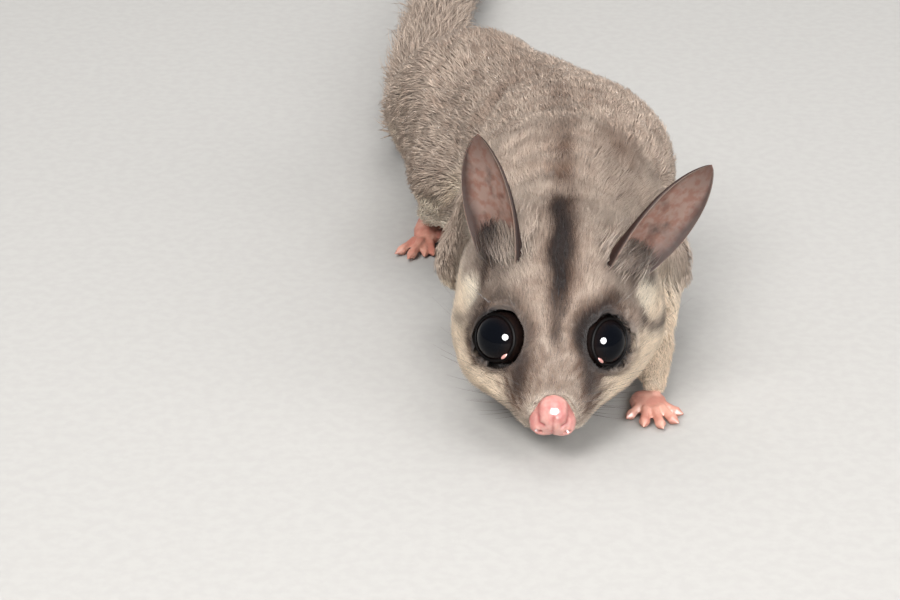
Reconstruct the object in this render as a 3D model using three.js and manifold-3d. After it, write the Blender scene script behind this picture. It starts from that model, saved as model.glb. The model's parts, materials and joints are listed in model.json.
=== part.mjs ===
// A sugar glider at life size, crouched on all fours with its head held low.
// Millimetres, +Z up. The animal faces -Y and its left side is +X.
// Hands, feet and tail rest on one level floor.
// Flesh is drawn as distance fields, meshed once, and parted into its named pieces with thin cuts.

import * as THREE from "three";
import { ParametricGeometry } from "three/addons/geometries/ParametricGeometry.js";
import { mergeVertices } from "three/addons/utils/BufferGeometryUtils.js";
import Module from "manifold-3d";

const wasm = await Module();
wasm.setup();

const v3 = (x, y, z) => new THREE.Vector3(x, y, z);
const UP = v3(0, 0, 1);
const radians = THREE.MathUtils.degToRad;
const SIDES = { left: 1, right: -1 };

// Driving dimensions
const GAP = 0.3; // left between neighbouring pieces
const CLEARANCE = 0.5; // the same where a limb or an ear meets the body's coarser faces
const HEAD_PITCH = 27; // degrees, nose down
const HEAD_ROLL = 0.5; // degrees, crown towards the animal's left
const HEAD_TURN = 2; // degrees, nose towards the animal's right
const NOSE_HEIGHT = 8; // centre of the nose pad above the floor
const HEAD_CUT = 37; // from the nose pad back to the nape, along the head
const EYE_RADIUS = 4.35;
const EYE_AT = v3(7.5, 14.2, 2.2); // in the head's own frame, left side
const EYE_LOOKS = v3(0.6, -0.5, 0.62);
const LID_THICKNESS = 0.8;
const MOUTH_DEPTH = 0.5; // radius of the groove between the lips
const LIP_THICKNESS = 0.6;
const LIP_STEP = 0.9; // from the groove to the ridge of each lip
const EAR_LENGTH = 19.5;
const EAR_WIDTH = 12.5;
const EAR_THICKNESS = 0.85;
const EAR_BOW = 1.4; // how far the tip bends back
const SHOULDERS = v3(3, 47, 23.5);
const RIBS = v3(5, 64, 23);
const LOIN = v3(-1, 81, 22.5);
const RUMP = v3(-12, 97, 24.2);
const TAIL_ROOT = v3(-18, 111, 17.5);
const TAIL_BEND = v3(-21.5, 127, 10); // where the tail comes down to the floor
const NECK_RADIUS = 11.5;
const SHOULDER_RADIUS = 15;
const RIB_RADIUS = 16.6;
const LOIN_RADIUS = 14.2;
const RUMP_RADIUS = 14.4;
const TAIL_ROOT_RADIUS = 8.5;
const TAIL_BASE = 6.8; // radius where the locks begin
const BELLY_HEIGHT = 6.5;
const STRIDE = 14; // how far the right hand stands behind the left one
const TAIL_BRUSH = 10.6; // radius of the tail out to the tips of its fur
const TAIL_CORE = 4.2; // radius inside the brush
const LOCKS_AROUND = 6;
const LOCK_STEP = 6.4; // from one half ring of locks to the next
const LOCK_LENGTH = 17;
const LOCK_WIDTH = 10.8;
const LOCK_THICKNESS = 1.5;
const LOCK_ROOT = 1.3; // how deep a root is sunk into the core
const LOCK_MARGIN = 2.4; // least distance from a root to the end of its length of tail
const LOCK_TURN = 0.35; // radians, turns the rings so that no lock points straight down

// Meshing steps
const HEAD_CELL = 2.4;
const BODY_CELL = 4.2;
const NOSE_CELL = 1;
const SHORTEST_EDGE = 0.15;

// Materials
const dressed = (colour, roughness) =>
  new THREE.MeshStandardMaterial({ color: colour, roughness, metalness: 0 });
const COAT = dressed(0x8d7a6c, 0.9);
const CREAM = dressed(0xcdb9a2, 0.9);
const NOSE_SKIN = dressed(0xd98f8a, 0.45);
const EAR_SKIN = dressed(0x7d5f55, 0.7);
const PAW_SKIN = dressed(0xc48a76, 0.6);
const EYE_GLASS = dressed(0x080706, 0.05);
const TAIL_FUR = dressed(0x6f6058, 0.9);

// Fields: each takes a point and gives the distance to its surface, negative inside

/** An ellipsoid, turned by an Euler angle in degrees. */
function ellipsoid(at, radii, turn = [0, 0, 0]) {
  const angles = new THREE.Euler(...turn.map(radians));
  const inverse = new THREE.Matrix4()
    .compose(at, new THREE.Quaternion().setFromEuler(angles), v3(1, 1, 1))
    .invert();
  const q = v3();
  return (p) => {
    q.copy(p).applyMatrix4(inverse);
    const near = Math.hypot(q.x / radii[0], q.y / radii[1], q.z / radii[2]);
    const slope = Math.hypot(q.x / radii[0] ** 2, q.y / radii[1] ** 2, q.z / radii[2] ** 2);
    return slope > 1e-9 ? (near * (near - 1)) / slope : -Math.min(...radii);
  };
}

/** A rod with round ends whose radius runs from one value to another. */
function rod(from, to, fromRadius, toRadius) {
  const along = to.clone().sub(from);
  const length2 = along.lengthSq();
  const q = v3();
  return (p) => {
    q.copy(p).sub(from);
    const t = THREE.MathUtils.clamp(q.dot(along) / length2, 0, 1);
    q.addScaledVector(along, -t);
    return q.length() - THREE.MathUtils.lerp(fromRadius, toRadius, t);
  };
}

/** Rods from joint to joint, where each joint is a place and a radius. */
function chain(...joints) {
  const rods = joints.slice(1).map(([to, radius], n) => rod(joints[n][0], to, joints[n][1], radius));
  return (p) => Math.min(...rods.map((field) => field(p)));
}

/** Fields joined with a fillet about as wide as k. */
function blend(k, ...fields) {
  const join = (a, b) => {
    const h = Math.max(k - Math.abs(a - b), 0) / k;
    return Math.min(a, b) - (h * h * k) / 4;
  };
  return (p) => fields.map((field) => field(p)).reduce(join);
}

/** A field with another one taken away from it, with a soft edge about as wide as k. */
function hollow(k, field, tool) {
  return (p) => {
    const a = field(p);
    const b = -tool(p);
    const h = Math.max(k - Math.abs(a - b), 0) / k;
    return Math.max(a, b) + (h * h * k) / 4;
  };
}

/** The same field on both sides of the plane x = 0. */
function mirrored(field) {
  const q = v3();
  return (p) => field(q.set(Math.abs(p.x), p.y, p.z));
}

function slope(field, p) {
  const step = 0.05;
  const along = (axis) => {
    const q = p.clone();
    q[axis] += step;
    const ahead = field(q);
    q[axis] -= 2 * step;
    return (ahead - field(q)) / (2 * step);
  };
  return v3(along("x"), along("y"), along("z"));
}

/** Moves a point onto the surface of a field. */
function settle(field, p, reach) {
  for (let i = 0; i < 4; i++) {
    const g = slope(field, p);
    const move = g.multiplyScalar(-field(p) / Math.max(g.lengthSq(), 0.05));
    p.add(move.clampLength(0, reach));
  }
  return p;
}

const CORNERS = [0, 1, 2, 3, 4, 5, 6, 7].map((c) => [c & 1, (c >> 1) & 1, c >> 2]);
const CELL_EDGES = CORNERS.flatMap((a, m) =>
  [1, 2, 4].filter((bit) => !(m & bit)).map((bit) => [a, CORNERS[m | bit]]),
);
const AXES = [
  [1, 0, 0],
  [0, 1, 0],
  [0, 0, 1],
];

/** The closed surface of a field inside a box, with one vertex for each cell that the surface crosses. */
function surfaceOf(field, box, cell) {
  const size = box.getSize(v3());
  const [nx, ny, nz] = [size.x, size.y, size.z].map((s) => Math.ceil(s / cell) + 1);
  const key = (i, j, k) => i + nx * (j + ny * k);
  const place = (i, j, k) => v3(i, j, k).multiplyScalar(cell).add(box.min);
  const onEdge = (i, j, k) => i === 0 || j === 0 || k === 0 || i === nx - 1 || j === ny - 1 || k === nz - 1;
  const value = new Float32Array(nx * ny * nz);
  const each = (visit, trim = 0) => {
    for (let k = 0; k < nz - trim; k++)
      for (let j = 0; j < ny - trim; j++) for (let i = 0; i < nx - trim; i++) visit(i, j, k);
  };
  each((i, j, k) => {
    const f = field(place(i, j, k));
    value[key(i, j, k)] = onEdge(i, j, k) ? Math.max(f, cell / 2) : f;
  });

  const vertexOf = new Map();
  const points = [];
  each((i, j, k) => {
    const crossings = [];
    for (const [a, b] of CELL_EDGES) {
      const fa = value[key(i + a[0], j + a[1], k + a[2])];
      const fb = value[key(i + b[0], j + b[1], k + b[2])];
      if (fa < 0 === fb < 0) continue;
      const from = place(i + a[0], j + a[1], k + a[2]);
      crossings.push(from.lerp(place(i + b[0], j + b[1], k + b[2]), fa / (fa - fb)));
    }
    if (!crossings.length) return;
    const middle = crossings.reduce((sum, c) => sum.add(c), v3()).divideScalar(crossings.length);
    vertexOf.set(key(i, j, k), points.length);
    points.push(middle);
  }, 1);

  const quads = [];
  each((i, j, k) => {
    AXES.forEach((a, n) => {
      const [b, c] = [AXES[(n + 1) % 3], AXES[(n + 2) % 3]];
      const near = value[key(i, j, k)] < 0;
      const far = value[key(i + a[0], j + a[1], k + a[2])] < 0;
      if (near === far) return;
      const cellAt = (s, t) => key(...[i, j, k].map((n, axis) => n - s * b[axis] - t * c[axis]));
      const cells = [cellAt(0, 0), cellAt(1, 0), cellAt(1, 1), cellAt(0, 1)];
      const around = cells.map((cellKey) => vertexOf.get(cellKey));
      quads.push(near ? around : around.reverse());
    });
  }, 1);

  relax(points, quads, field, cell);
  const triangles = quads.flatMap(([a, b, c, d]) => {
    const shorter = points[a].distanceTo(points[c]) < points[b].distanceTo(points[d]);
    return shorter ? [a, b, c, a, c, d] : [b, c, d, b, d, a];
  });
  const geometry = new THREE.BufferGeometry().setFromPoints(points);
  geometry.setIndex(triangles);
  return geometry;
}

/** Evens out the vertices of a meshed field and keeps them on its surface. */
function relax(points, quads, field, cell) {
  for (let round = 0; round < 3; round++) {
    const sums = points.map(() => v3());
    const counts = points.map(() => 0);
    for (const quad of quads)
      quad.forEach((a, n) => {
        sums[a].add(points[quad[(n + 1) % 4]]).add(points[quad[(n + 3) % 4]]);
        counts[a] += 2;
      });
    points.forEach((p, n) => {
      if (round) p.lerp(sums[n].divideScalar(counts[n]), 0.5);
      if (Math.abs(field(p)) < cell) settle(field, p, cell / 2);
    });
  }
}

// Solids: closed meshes that can be joined and cut

/** A closed geometry as a solid, whichever way its faces were wound. */
function solid(geometry) {
  const bare = new THREE.BufferGeometry().setAttribute("position", geometry.getAttribute("position"));
  bare.setIndex(geometry.index);
  const merged = mergeVertices(bare, 1e-4);
  const p = merged.getAttribute("position");
  const corner = (n) => v3().fromBufferAttribute(p, n);
  const faces = [];
  let volume = 0;
  for (let n = 0; n < merged.index.count; n += 3) {
    const [a, b, c] = [0, 1, 2].map((m) => merged.index.getX(n + m));
    if (a === b || b === c || c === a) continue;
    faces.push([a, b, c]);
    volume += corner(a).dot(corner(b).cross(corner(c)));
  }
  const outward = volume < 0 ? faces.map(([a, b, c]) => [a, c, b]) : faces;
  return new wasm.Manifold(
    new wasm.Mesh({ numProp: 3, vertProperties: p.array, triVerts: new Uint32Array(outward.flat()) }),
  );
}

/** Only the largest body of a solid that a cut left scraps of. */
function largest(shape) {
  return shape.decompose().reduce((a, b) => (b.volume() > a.volume() ? b : a));
}

/** Draws together the ends of each edge that a cut left too short, where nothing folds or opens. */
function withoutShortEdges(points, faces) {
  const facesOf = points.map(() => new Set());
  faces.forEach((face, n) => face.forEach((a) => facesOf[a].add(n)));
  const around = (a) => new Set([...facesOf[a]].flatMap((n) => faces[n]).filter((b) => b !== a));
  const normalOf = ([a, b, c]) => points[b].clone().sub(points[a]).cross(points[c].clone().sub(points[a]));
  const drawTogether = (a, b) => {
    const shared = [...around(a)].filter((c) => around(b).has(c));
    if (shared.length !== 2) return false;
    const nearby = [...facesOf[a], ...facesOf[b]];
    const moved = nearby.filter((n) => !(faces[n].includes(a) && faces[n].includes(b)));
    const before = moved.map((n) => normalOf(faces[n]));
    const [atA, atB] = [points[a].clone(), points[b].clone()];
    points[a].lerp(atB, 0.5);
    points[b].copy(points[a]);
    const folds = moved.some((n, m) => {
      if (before[m].length() < SHORTEST_EDGE ** 2 / 4) return false;
      return normalOf(faces[n]).normalize().dot(before[m].normalize()) < 0.2;
    });
    if (folds) {
      points[a].copy(atA);
      points[b].copy(atB);
      return false;
    }
    for (const n of [...facesOf[b]]) {
      if (faces[n].includes(a)) faces[n].forEach((c) => facesOf[c].delete(n));
      else {
        faces[n] = faces[n].map((c) => (c === b ? a : c));
        facesOf[a].add(n);
      }
    }
    facesOf[b].clear();
    return true;
  };
  for (let again = true; again; ) {
    again = false;
    faces.forEach((_, n) => {
      for (let m = 0; m < 3 && facesOf[faces[n][0]].has(n); m++) {
        const [a, b] = [faces[n][m], faces[n][(m + 1) % 3]];
        if (points[a].distanceTo(points[b]) < SHORTEST_EDGE && drawTogether(a, b)) again = true;
      }
    });
  }
  return faces.filter((face, n) => facesOf[face[0]].has(n));
}

function geometryOf(shape) {
  const mesh = largest(shape).getMesh();
  const points = Array.from({ length: mesh.numVert }, (_, n) => v3().fromArray(mesh.vertProperties, n * 3));
  const faces = Array.from({ length: mesh.numTri }, (_, n) => [...mesh.triVerts.subarray(n * 3, n * 3 + 3)]);
  const kept = withoutShortEdges(points, faces);
  const geometry = new THREE.BufferGeometry().setFromPoints(points);
  geometry.setIndex(kept.flat());
  geometry.computeVertexNormals();
  return geometry;
}

/** A closed geometry as a solid at a place, turned by an Euler angle in degrees. */
function placed(geometry, at, turn = [0, 0, 0]) {
  const angles = new THREE.Euler(...turn.map(radians));
  const matrix = new THREE.Matrix4().compose(at, new THREE.Quaternion().setFromEuler(angles), v3(1, 1, 1));
  return solid(geometry.clone().applyMatrix4(matrix));
}

const ovalGeometry = (radii, around, down) => new THREE.SphereGeometry(1, around, down).scale(...radii);

/** All that lies ahead of a plane, as a big box from the plane towards its normal. */
function halfSpace(at, normal) {
  const far = 1200;
  const box = new THREE.BoxGeometry(far, far, far).translate(0, 0, far / 2);
  const turn = new THREE.Quaternion().setFromUnitVectors(UP, normal.clone().normalize());
  return solid(box.applyQuaternion(turn).translate(at.x, at.y, at.z));
}

const aboveFloor = (shape) => shape.intersect(halfSpace(v3(0, 0, 0), UP));

/** Parts a solid at a plane, with the gap between: what lies behind it and what lies ahead. */
function partAt(shape, at, normal) {
  const n = normal.clone().normalize();
  const behind = shape.intersect(halfSpace(at.clone().addScaledVector(n, -GAP / 2), n.clone().negate()));
  const ahead = shape.intersect(halfSpace(at.clone().addScaledVector(n, GAP / 2), n));
  return [behind, ahead];
}

/** A closed tube along a curve: section gives its half width and half height at each share of the way. */
function sweep(curve, section, sides, steps, up = UP) {
  const shape = (u, v, target) => {
    const t = THREE.MathUtils.clamp(v, 0, 1);
    const along = curve.getTangentAt(t);
    const across = along.clone().cross(up).normalize();
    const rise = across.clone().cross(along);
    const [width, height] = section(t);
    const angle = u * 2 * Math.PI;
    target.copy(curve.getPointAt(t));
    target.addScaledVector(across, width * Math.cos(angle));
    target.addScaledVector(rise, height * Math.sin(angle));
  };
  return new ParametricGeometry(shape, sides, steps);
}

/** A share of the full radius that closes to nothing at both ends of a sweep. */
const rounded = (t, end) => Math.sqrt(Math.max(0, 1 - (1 - Math.min(t, 1 - t, end) / end) ** 2));

const through = (...points) => new THREE.CatmullRomCurve3(points);

/** Repeatable random numbers from 0 to 1. */
function dice(seed) {
  let state = seed;
  return () => {
    state = (state * 1664525 + 1013904223) % 4294967296;
    return state / 4294967296;
  };
}

// Head, in its own frame: x across, y back from the nose pad, z towards the crown

const headFrame = new THREE.Group();
headFrame.position.set(-0.2, 0, NOSE_HEIGHT);
headFrame.rotation.set(radians(HEAD_PITCH), radians(HEAD_ROLL), -radians(HEAD_TURN), "YXZ");
headFrame.updateMatrix();
const toHead = headFrame.matrix.clone().invert();

const skull = blend(
  4,
  ellipsoid(v3(0, 28, 1.2), [13.2, 13, 11.2]),
  mirrored(ellipsoid(v3(9.6, 29, -2), [6.4, 8, 8])),
  rod(v3(0, 19, 0.4), v3(0, 5.2, -0.6), 9, 3.9),
  mirrored(chain([v3(9.7, 21.5, -3.6), 6.8], [v3(5.2, 11, -3.7), 4.8], [v3(2.2, 4.6, -2.4), 3.1])),
  ellipsoid(v3(0, 10, -5.8), [4.4, 8, 2.8], [-8, 0, 0]),
);
const browed = blend(2.2, skull, mirrored(ellipsoid(v3(7.6, 16.2, 2.8), [5.2, 6.2, 5.4])));
const headShape = hollow(
  1.5,
  browed,
  mirrored(ellipsoid(EYE_AT.clone().addScaledVector(EYE_LOOKS, 4.6), [4.3, 4.3, 3.4], [-38, 44, 0])),
);

/** The eyelids of one side: a ring that follows the ball. */
function lidRing(side) {
  const looks = v3(side * EYE_LOOKS.x, EYE_LOOKS.y, EYE_LOOKS.z).normalize();
  const ring = new THREE.TorusGeometry(EYE_RADIUS + 0.15, LID_THICKNESS, 6, 20).scale(1.03, 0.97, 1);
  ring.applyQuaternion(new THREE.Quaternion().setFromUnitVectors(UP, looks));
  const at = v3(side * EYE_AT.x, EYE_AT.y, EYE_AT.z).addScaledVector(looks, 1.5);
  return solid(ring.translate(at.x, at.y, at.z));
}

/** A thin round strip along one side of the mouth, on the head's own surface, raised or lowered by a step. */
function mouthStrip(side, thickness, step) {
  const stops = [v3(0, 2.4, -4.8), v3(2.9, 4, -5.2), v3(5, 7.6, -6.2), v3(7.4, 12, -7)];
  const line = through(...stops.map((p) => settle(headShape, v3(side * p.x, p.y, p.z + step), 1)));
  const radius = (t) => thickness * rounded(t, 0.12);
  return solid(sweep(line, (t) => [radius(t), radius(t)], 6, 9));
}

/** The nose pad with its wings, made larger on all sides by a growth. */
const nosePad = (growth) =>
  blend(
    1,
    ellipsoid(v3(0, 1.8, -0.7), [2.8 + growth, 2.9 + growth, 3.6 + growth], [14, 0, 0]),
    mirrored(ellipsoid(v3(1.75, 1.3, -2), [1.8 + growth, 2.1 + growth, 1.9 + growth])),
  );
const NOSE_BOX = new THREE.Box3(v3(-6, -3, -5), v3(6, 7, 6));

const eyeball = (side, radius) =>
  placed(ovalGeometry([radius, radius, radius], 16, 11), v3(side * EYE_AT.x, EYE_AT.y, EYE_AT.z));

/** The body's field as the head's frame sees it. */
const wholeInHead = (p) => whole(p.clone().applyMatrix4(headFrame.matrix));

function makeHead() {
  const box = new THREE.Box3(v3(-20, -2, -17), v3(20, HEAD_CUT + 5, 18));
  let head = solid(surfaceOf(wholeInHead, box, HEAD_CELL));
  [head] = partAt(head, v3(0, HEAD_CUT, 0), v3(0, 1, 0));
  for (const side of Object.values(SIDES)) {
    for (const step of [LIP_STEP, -LIP_STEP]) head = head.add(mouthStrip(side, LIP_THICKNESS, step));
    head = head.subtract(mouthStrip(side, MOUTH_DEPTH, 0));
    head = head.add(lidRing(side)).subtract(eyeball(side, EYE_RADIUS + GAP));
  }
  return head.subtract(solid(surfaceOf(nosePad(GAP), NOSE_BOX, NOSE_CELL)));
}

/** The bare nose pad, with its nostrils and the groove that runs down to the lip. */
function makeNose() {
  const pad = solid(surfaceOf(nosePad(0), NOSE_BOX, NOSE_CELL));
  const groove = through(v3(0, -1.3, -0.6), v3(0, -1.6, -2.4), v3(0, -0.9, -4.4));
  const section = (t) => [0.4 * rounded(t, 0.2), 0.45 * rounded(t, 0.2)];
  const cut = pad.subtract(solid(sweep(groove, section, 5, 5, v3(0, 1, 0))));
  const nostril = ovalGeometry([0.95, 1.2, 0.6], 10, 6);
  return Object.values(SIDES).reduce(
    (shape, s) => shape.subtract(placed(nostril, v3(s * 2.3, -0.7, -2), [0, s * 30, s * 40])),
    cut,
  );
}

const EARS = {
  left: { root: v3(10.6, 28.6, 7.6), points: v3(0.72, 0.38, 0.6), opens: v3(0.42, -0.9, 0.06) },
  right: { root: v3(-7.3, 28.8, 7.8), points: v3(-0.35, 0.38, 0.855), opens: v3(-0.72, -0.64, 0.26) },
};

/** One ear: a cupped, pointed leaf that grows from its root and opens towards a chosen direction. */
function makeEar({ root, points, opens }) {
  const along = points.clone().normalize();
  const facing = opens.clone().addScaledVector(along, -opens.dot(along)).normalize();
  const across = along.clone().cross(facing);
  const halfWidth = (u) => (EAR_WIDTH / 2) * (0.75 + 0.85 * u) * (1 - u * u) ** 0.8;
  const cup = (u) => 5.2 * (1 - u) ** 1.3 + 1.3 * Math.sqrt(1 - u);
  const face = (u, s) => {
    const p = root.clone().addScaledVector(along, EAR_LENGTH * u);
    p.addScaledVector(across, halfWidth(u) * Math.sin((s * Math.PI) / 2));
    p.addScaledVector(facing, cup(u) * (1 - Math.cos((s * Math.PI) / 2)) - EAR_BOW * u * u);
    return p;
  };
  const leaf = (t, v, target) => {
    const u = THREE.MathUtils.clamp(v, 0, 1);
    const w = THREE.MathUtils.euclideanModulo(t, 1);
    const inner = w < 0.5;
    const s = inner ? 4 * w - 1 : 3 - 4 * w;
    const step = 0.01;
    const low = THREE.MathUtils.clamp(u, 0.02, 0.97);
    const lengthwise = face(low + step, s).sub(face(low - step, s));
    const crosswise = face(low, Math.min(s, 0.99) + step).sub(face(low, Math.max(s, -0.98) - step));
    const out = lengthwise.cross(crosswise).normalize();
    if (out.dot(facing) < 0) out.negate();
    const thick = EAR_THICKNESS * (0.45 + 0.55 * Math.sqrt(1 - s * s)) * Math.sqrt(1 - u ** 6);
    target.copy(u > 0 ? face(u, s) : face(0, 0).addScaledVector(facing, 1));
    if (u > 0) target.addScaledVector(out, ((inner ? 1 : -1) * thick) / 2);
  };
  return solid(new ParametricGeometry(leaf, 16, 9));
}

// Trunk and limbs, in the part's frame

const NAPE = v3(0, HEAD_CUT - 5, -1).applyMatrix4(headFrame.matrix);

/** Where one limb's joints are: s is 1 on the animal's left and -1 on its right. */
function limbPoints(s) {
  const back = s > 0 ? 0 : STRIDE;
  const haunch = RUMP.x + (s > 0 ? 21.5 : -4.5);
  return {
    shoulder: v3(SHOULDERS.x + s * 9.5, 47 + back * 0.2, 21),
    elbow: v3(SHOULDERS.x + s * 16, 47.5 + back * 0.3, 12.5),
    wrist: v3(1 + s * (15.2 - back * 0.72), 21 + back, 3),
    hand: v3(1 + s * (15.2 - back * 0.75), 19 + back, 1.9),
    hip: v3(RUMP.x + s * 4.5, 96, 23),
    knee: v3(haunch, 81, 16.5),
    ankle: v3(haunch - 2.5 - s * 1.5, 99, 3.4),
    foot: v3(haunch - 2.5, 92, 2),
  };
}

const headInPart = (p) => headShape(p.clone().applyMatrix4(toHead));
const trunk = blend(
  7,
  rod(NAPE, SHOULDERS, NECK_RADIUS, SHOULDER_RADIUS),
  rod(SHOULDERS, RIBS, SHOULDER_RADIUS, RIB_RADIUS),
  rod(RIBS, LOIN, RIB_RADIUS, LOIN_RADIUS),
  rod(LOIN, RUMP, LOIN_RADIUS, RUMP_RADIUS),
);
const flatBellied = hollow(8, trunk, (p) => p.z - BELLY_HEIGHT);
const upperLimbs = Object.values(SIDES).flatMap((s) => {
  const at = limbPoints(s);
  return [rod(at.shoulder, at.elbow, 9, 6), rod(at.hip, at.knee, 11.4, 7.6)];
});
const limbed = blend(4, flatBellied, ...upperLimbs);
const tailed = blend(8, limbed, rod(TAIL_ROOT, TAIL_BEND, TAIL_ROOT_RADIUS, TAIL_BASE));
const whole = blend(5, tailed, headInPart);

const HEAD_PLANE = v3(0, HEAD_CUT, 0).applyMatrix4(headFrame.matrix);
const HEAD_BACKWARDS = v3(0, 1, 0).transformDirection(headFrame.matrix);
const TRUNK_BOX = new THREE.Box3(v3(-42, 20, 0), v3(36, 144, 52));

/** The trunk and all that is parted from it, each as a solid. */
function makeTrunk() {
  const behindHead = (p) => Math.max(whole(p), -p.clone().sub(HEAD_PLANE).dot(HEAD_BACKWARDS) - BODY_CELL);
  let rest = solid(surfaceOf(behindHead, TRUNK_BOX, BODY_CELL));
  [, rest] = partAt(rest, HEAD_PLANE, HEAD_BACKWARDS);
  [rest] = partAt(rest, tailAt(TAIL_START).at, tailAt(TAIL_START).along);
  const pieces = {};
  for (const [name, s] of Object.entries(SIDES)) {
    const at = limbPoints(s);
    const cuts = {
      ["upper_arm_" + name]: {
        at: at.elbow.clone().add(v3(s * 4.5, 0, 1.5)),
        radii: [9.5, 12, 13.5],
        turn: [0, s * 14, 0],
      },
      ["thigh_" + name]: {
        at: at.knee.clone().add(v3(s * 4, 7, 1)),
        radii: [12, 20, 16],
        turn: [0, s * 8, s * 12],
      },
    };
    for (const [limb, cut] of Object.entries(cuts)) {
      const grown = (by) => placed(ovalGeometry(cut.radii.map((r) => r + by), 16, 10), cut.at, cut.turn);
      pieces[limb] = rest.intersect(grown(-GAP / 2));
      rest = rest.subtract(grown(GAP / 2));
    }
  }
  [pieces.neck, rest] = partAt(rest, SHOULDERS.clone().add(v3(0, -7, 0)), SHOULDERS.clone().sub(NAPE));
  [pieces.torso_front, rest] = partAt(rest, RIBS.clone().add(v3(0, 7, 0)), LOIN.clone().sub(RIBS));
  [pieces.torso_rear, pieces.tail_root] = partAt(rest, TAIL_ROOT, TAIL_BEND.clone().sub(RUMP));
  return pieces;
}

/** A limb length from one joint to the next, made thicker on all sides by a growth. */
function makeLength(from, to, fromRadius, toRadius, bow, growth = 0) {
  const start = from.clone().lerp(to, -0.16);
  const middle = from.clone().lerp(to, 0.5).add(bow);
  const radius = (t) => (THREE.MathUtils.lerp(fromRadius, toRadius, t ** 0.8) + growth) * rounded(t, 0.12);
  return solid(sweep(through(start, middle, to), (t) => [radius(t), radius(t) * 0.95], 10, 8, v3(0.1, 0, 1)));
}

/** One digit with its claw, fanned from the sole. */
function makeDigit(from, heading, { length, radius, claw }) {
  const ahead = v3(Math.sin(heading), -Math.cos(heading), 0);
  const stop = (share, height) => from.clone().addScaledVector(ahead, length * share).setZ(height);
  const knuckle = stop(0.45, radius * 1.7);
  const bones = through(from.clone().setZ(radius * 1.5), knuckle, stop(0.8, radius), stop(1, radius * 0.9));
  const swell = (t) => radius * rounded(t, 0.16) * (1 + 0.16 * Math.cos((t - 0.88) * 14));
  const digit = solid(sweep(bones, (t) => [swell(t), swell(t)], 6, 5));
  if (!claw) return digit;
  const hook = through(
    stop(0.9, radius * 1.5),
    stop(1, radius * 1.7).addScaledVector(ahead, claw * 0.45),
    stop(1, radius * 0.7).addScaledVector(ahead, claw),
  );
  return digit.add(solid(sweep(hook, (t) => [0.42 * rounded(t, 0.7), 0.5 * rounded(t, 0.7)], 4, 3)));
}

const HAND = {
  sole: [3.1, 3.6, 1.7],
  reach: 0,
  digits: [
    { turn: -58, length: 6, radius: 0.85, claw: 1.7 },
    { turn: -26, length: 7.6, radius: 0.9, claw: 1.9 },
    { turn: -3, length: 8.4, radius: 0.9, claw: 2 },
    { turn: 20, length: 7.8, radius: 0.9, claw: 1.9 },
    { turn: 46, length: 6.4, radius: 0.85, claw: 1.8 },
  ],
};
const FOOT = {
  sole: [3.6, 8.6, 2.1],
  reach: 5.2,
  digits: [
    { turn: -82, length: 7.4, radius: 1.15, claw: 0 },
    { turn: -22, length: 7.6, radius: 0.75, claw: 1.6 },
    { turn: -9, length: 8, radius: 0.75, claw: 1.6 },
    { turn: 8, length: 10.2, radius: 0.95, claw: 2 },
    { turn: 28, length: 9.4, radius: 0.9, claw: 1.9 },
  ],
};

/** The palm or sole of a paw, made larger on all sides by a growth. */
const makeSole = ({ sole }, at, turn, growth = 0) =>
  placed(ovalGeometry(sole.map((r) => r + growth), 12, 8), at.clone().setZ(sole[2] * 0.78), [0, 0, turn]);

/** A hand or foot, flat on the floor: s is 1 on the animal's left, and heading turns it outwards. */
function makePaw(paw, at, s, heading) {
  const out = radians(heading) * s;
  const fan = at.clone().add(v3(Math.sin(out), -Math.cos(out), 0).multiplyScalar(paw.reach));
  const digits = paw.digits.map((digit) => makeDigit(fan, radians(heading + digit.turn) * s, digit));
  return aboveFloor(digits.reduce((shape, digit) => shape.add(digit), makeSole(paw, at, heading * s)));
}

/** The gliding membrane of one side, folded along the flank from the elbow to the ankle. */
function makePatagium(s) {
  const edge = through(
    v3(SHOULDERS.x + s * 14.5, 44, 11),
    v3(SHOULDERS.x + 1 + s * 17.5, 54, 11.5),
    v3(RIBS.x + s * 17, 65, 12),
    v3(LOIN.x + 1.5 + s * 16, 77, 11),
    v3(limbPoints(s).knee.x + s * 4, 88, 9),
    v3(limbPoints(s).ankle.x + s * 2.5, 98, 7.5),
  );
  const ripple = (t) => 1 + 0.16 * Math.sin(t * 26);
  const section = (t) => [2 * rounded(t, 0.25), 5.4 * ripple(t) * rounded(t, 0.3)];
  return aboveFloor(solid(sweep(edge, section, 6, 17, v3(-s * 0.35, 0, 1))));
}

// Tail, laid back along the floor

const tailPath = through(
  TAIL_BEND.clone().add(v3(2, -9, 5)),
  TAIL_BEND,
  v3(-22.5, 148, 8.4),
  v3(-20.5, 176, 8.4),
  v3(-17.5, 206, 8.4),
  v3(-13, 236, 8.4),
  v3(-6.5, 264, 7.2),
  v3(1, 287, 5),
);
const TAIL_LENGTH = tailPath.getLength();
const TAIL_START = 11; // along the path, at the bend
const TAIL_CUTS = [63.8, 115]; // where the tail is parted, along the path

/** A place on the tail's middle line, a distance along it, and straight on past its end. */
function tailAt(distance) {
  const share = THREE.MathUtils.clamp(distance / TAIL_LENGTH, 0, 1);
  const along = tailPath.getTangentAt(share);
  const at = tailPath.getPointAt(share).addScaledVector(along, Math.max(0, distance - TAIL_LENGTH));
  const across = along.clone().cross(UP).normalize();
  return { at, along, across, rise: across.clone().cross(along) };
}

/** Radius out to the tips of the fur, a distance along the tail. */
function brush(distance) {
  const t = distance / TAIL_LENGTH;
  const swelling = 0.88 + 0.12 * Math.min(t / 0.25, 1);
  const narrowing = 1 - 0.75 * Math.max(0, (t - 0.72) / 0.33) ** 1.5;
  return TAIL_BRUSH * swelling * narrowing;
}

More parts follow.
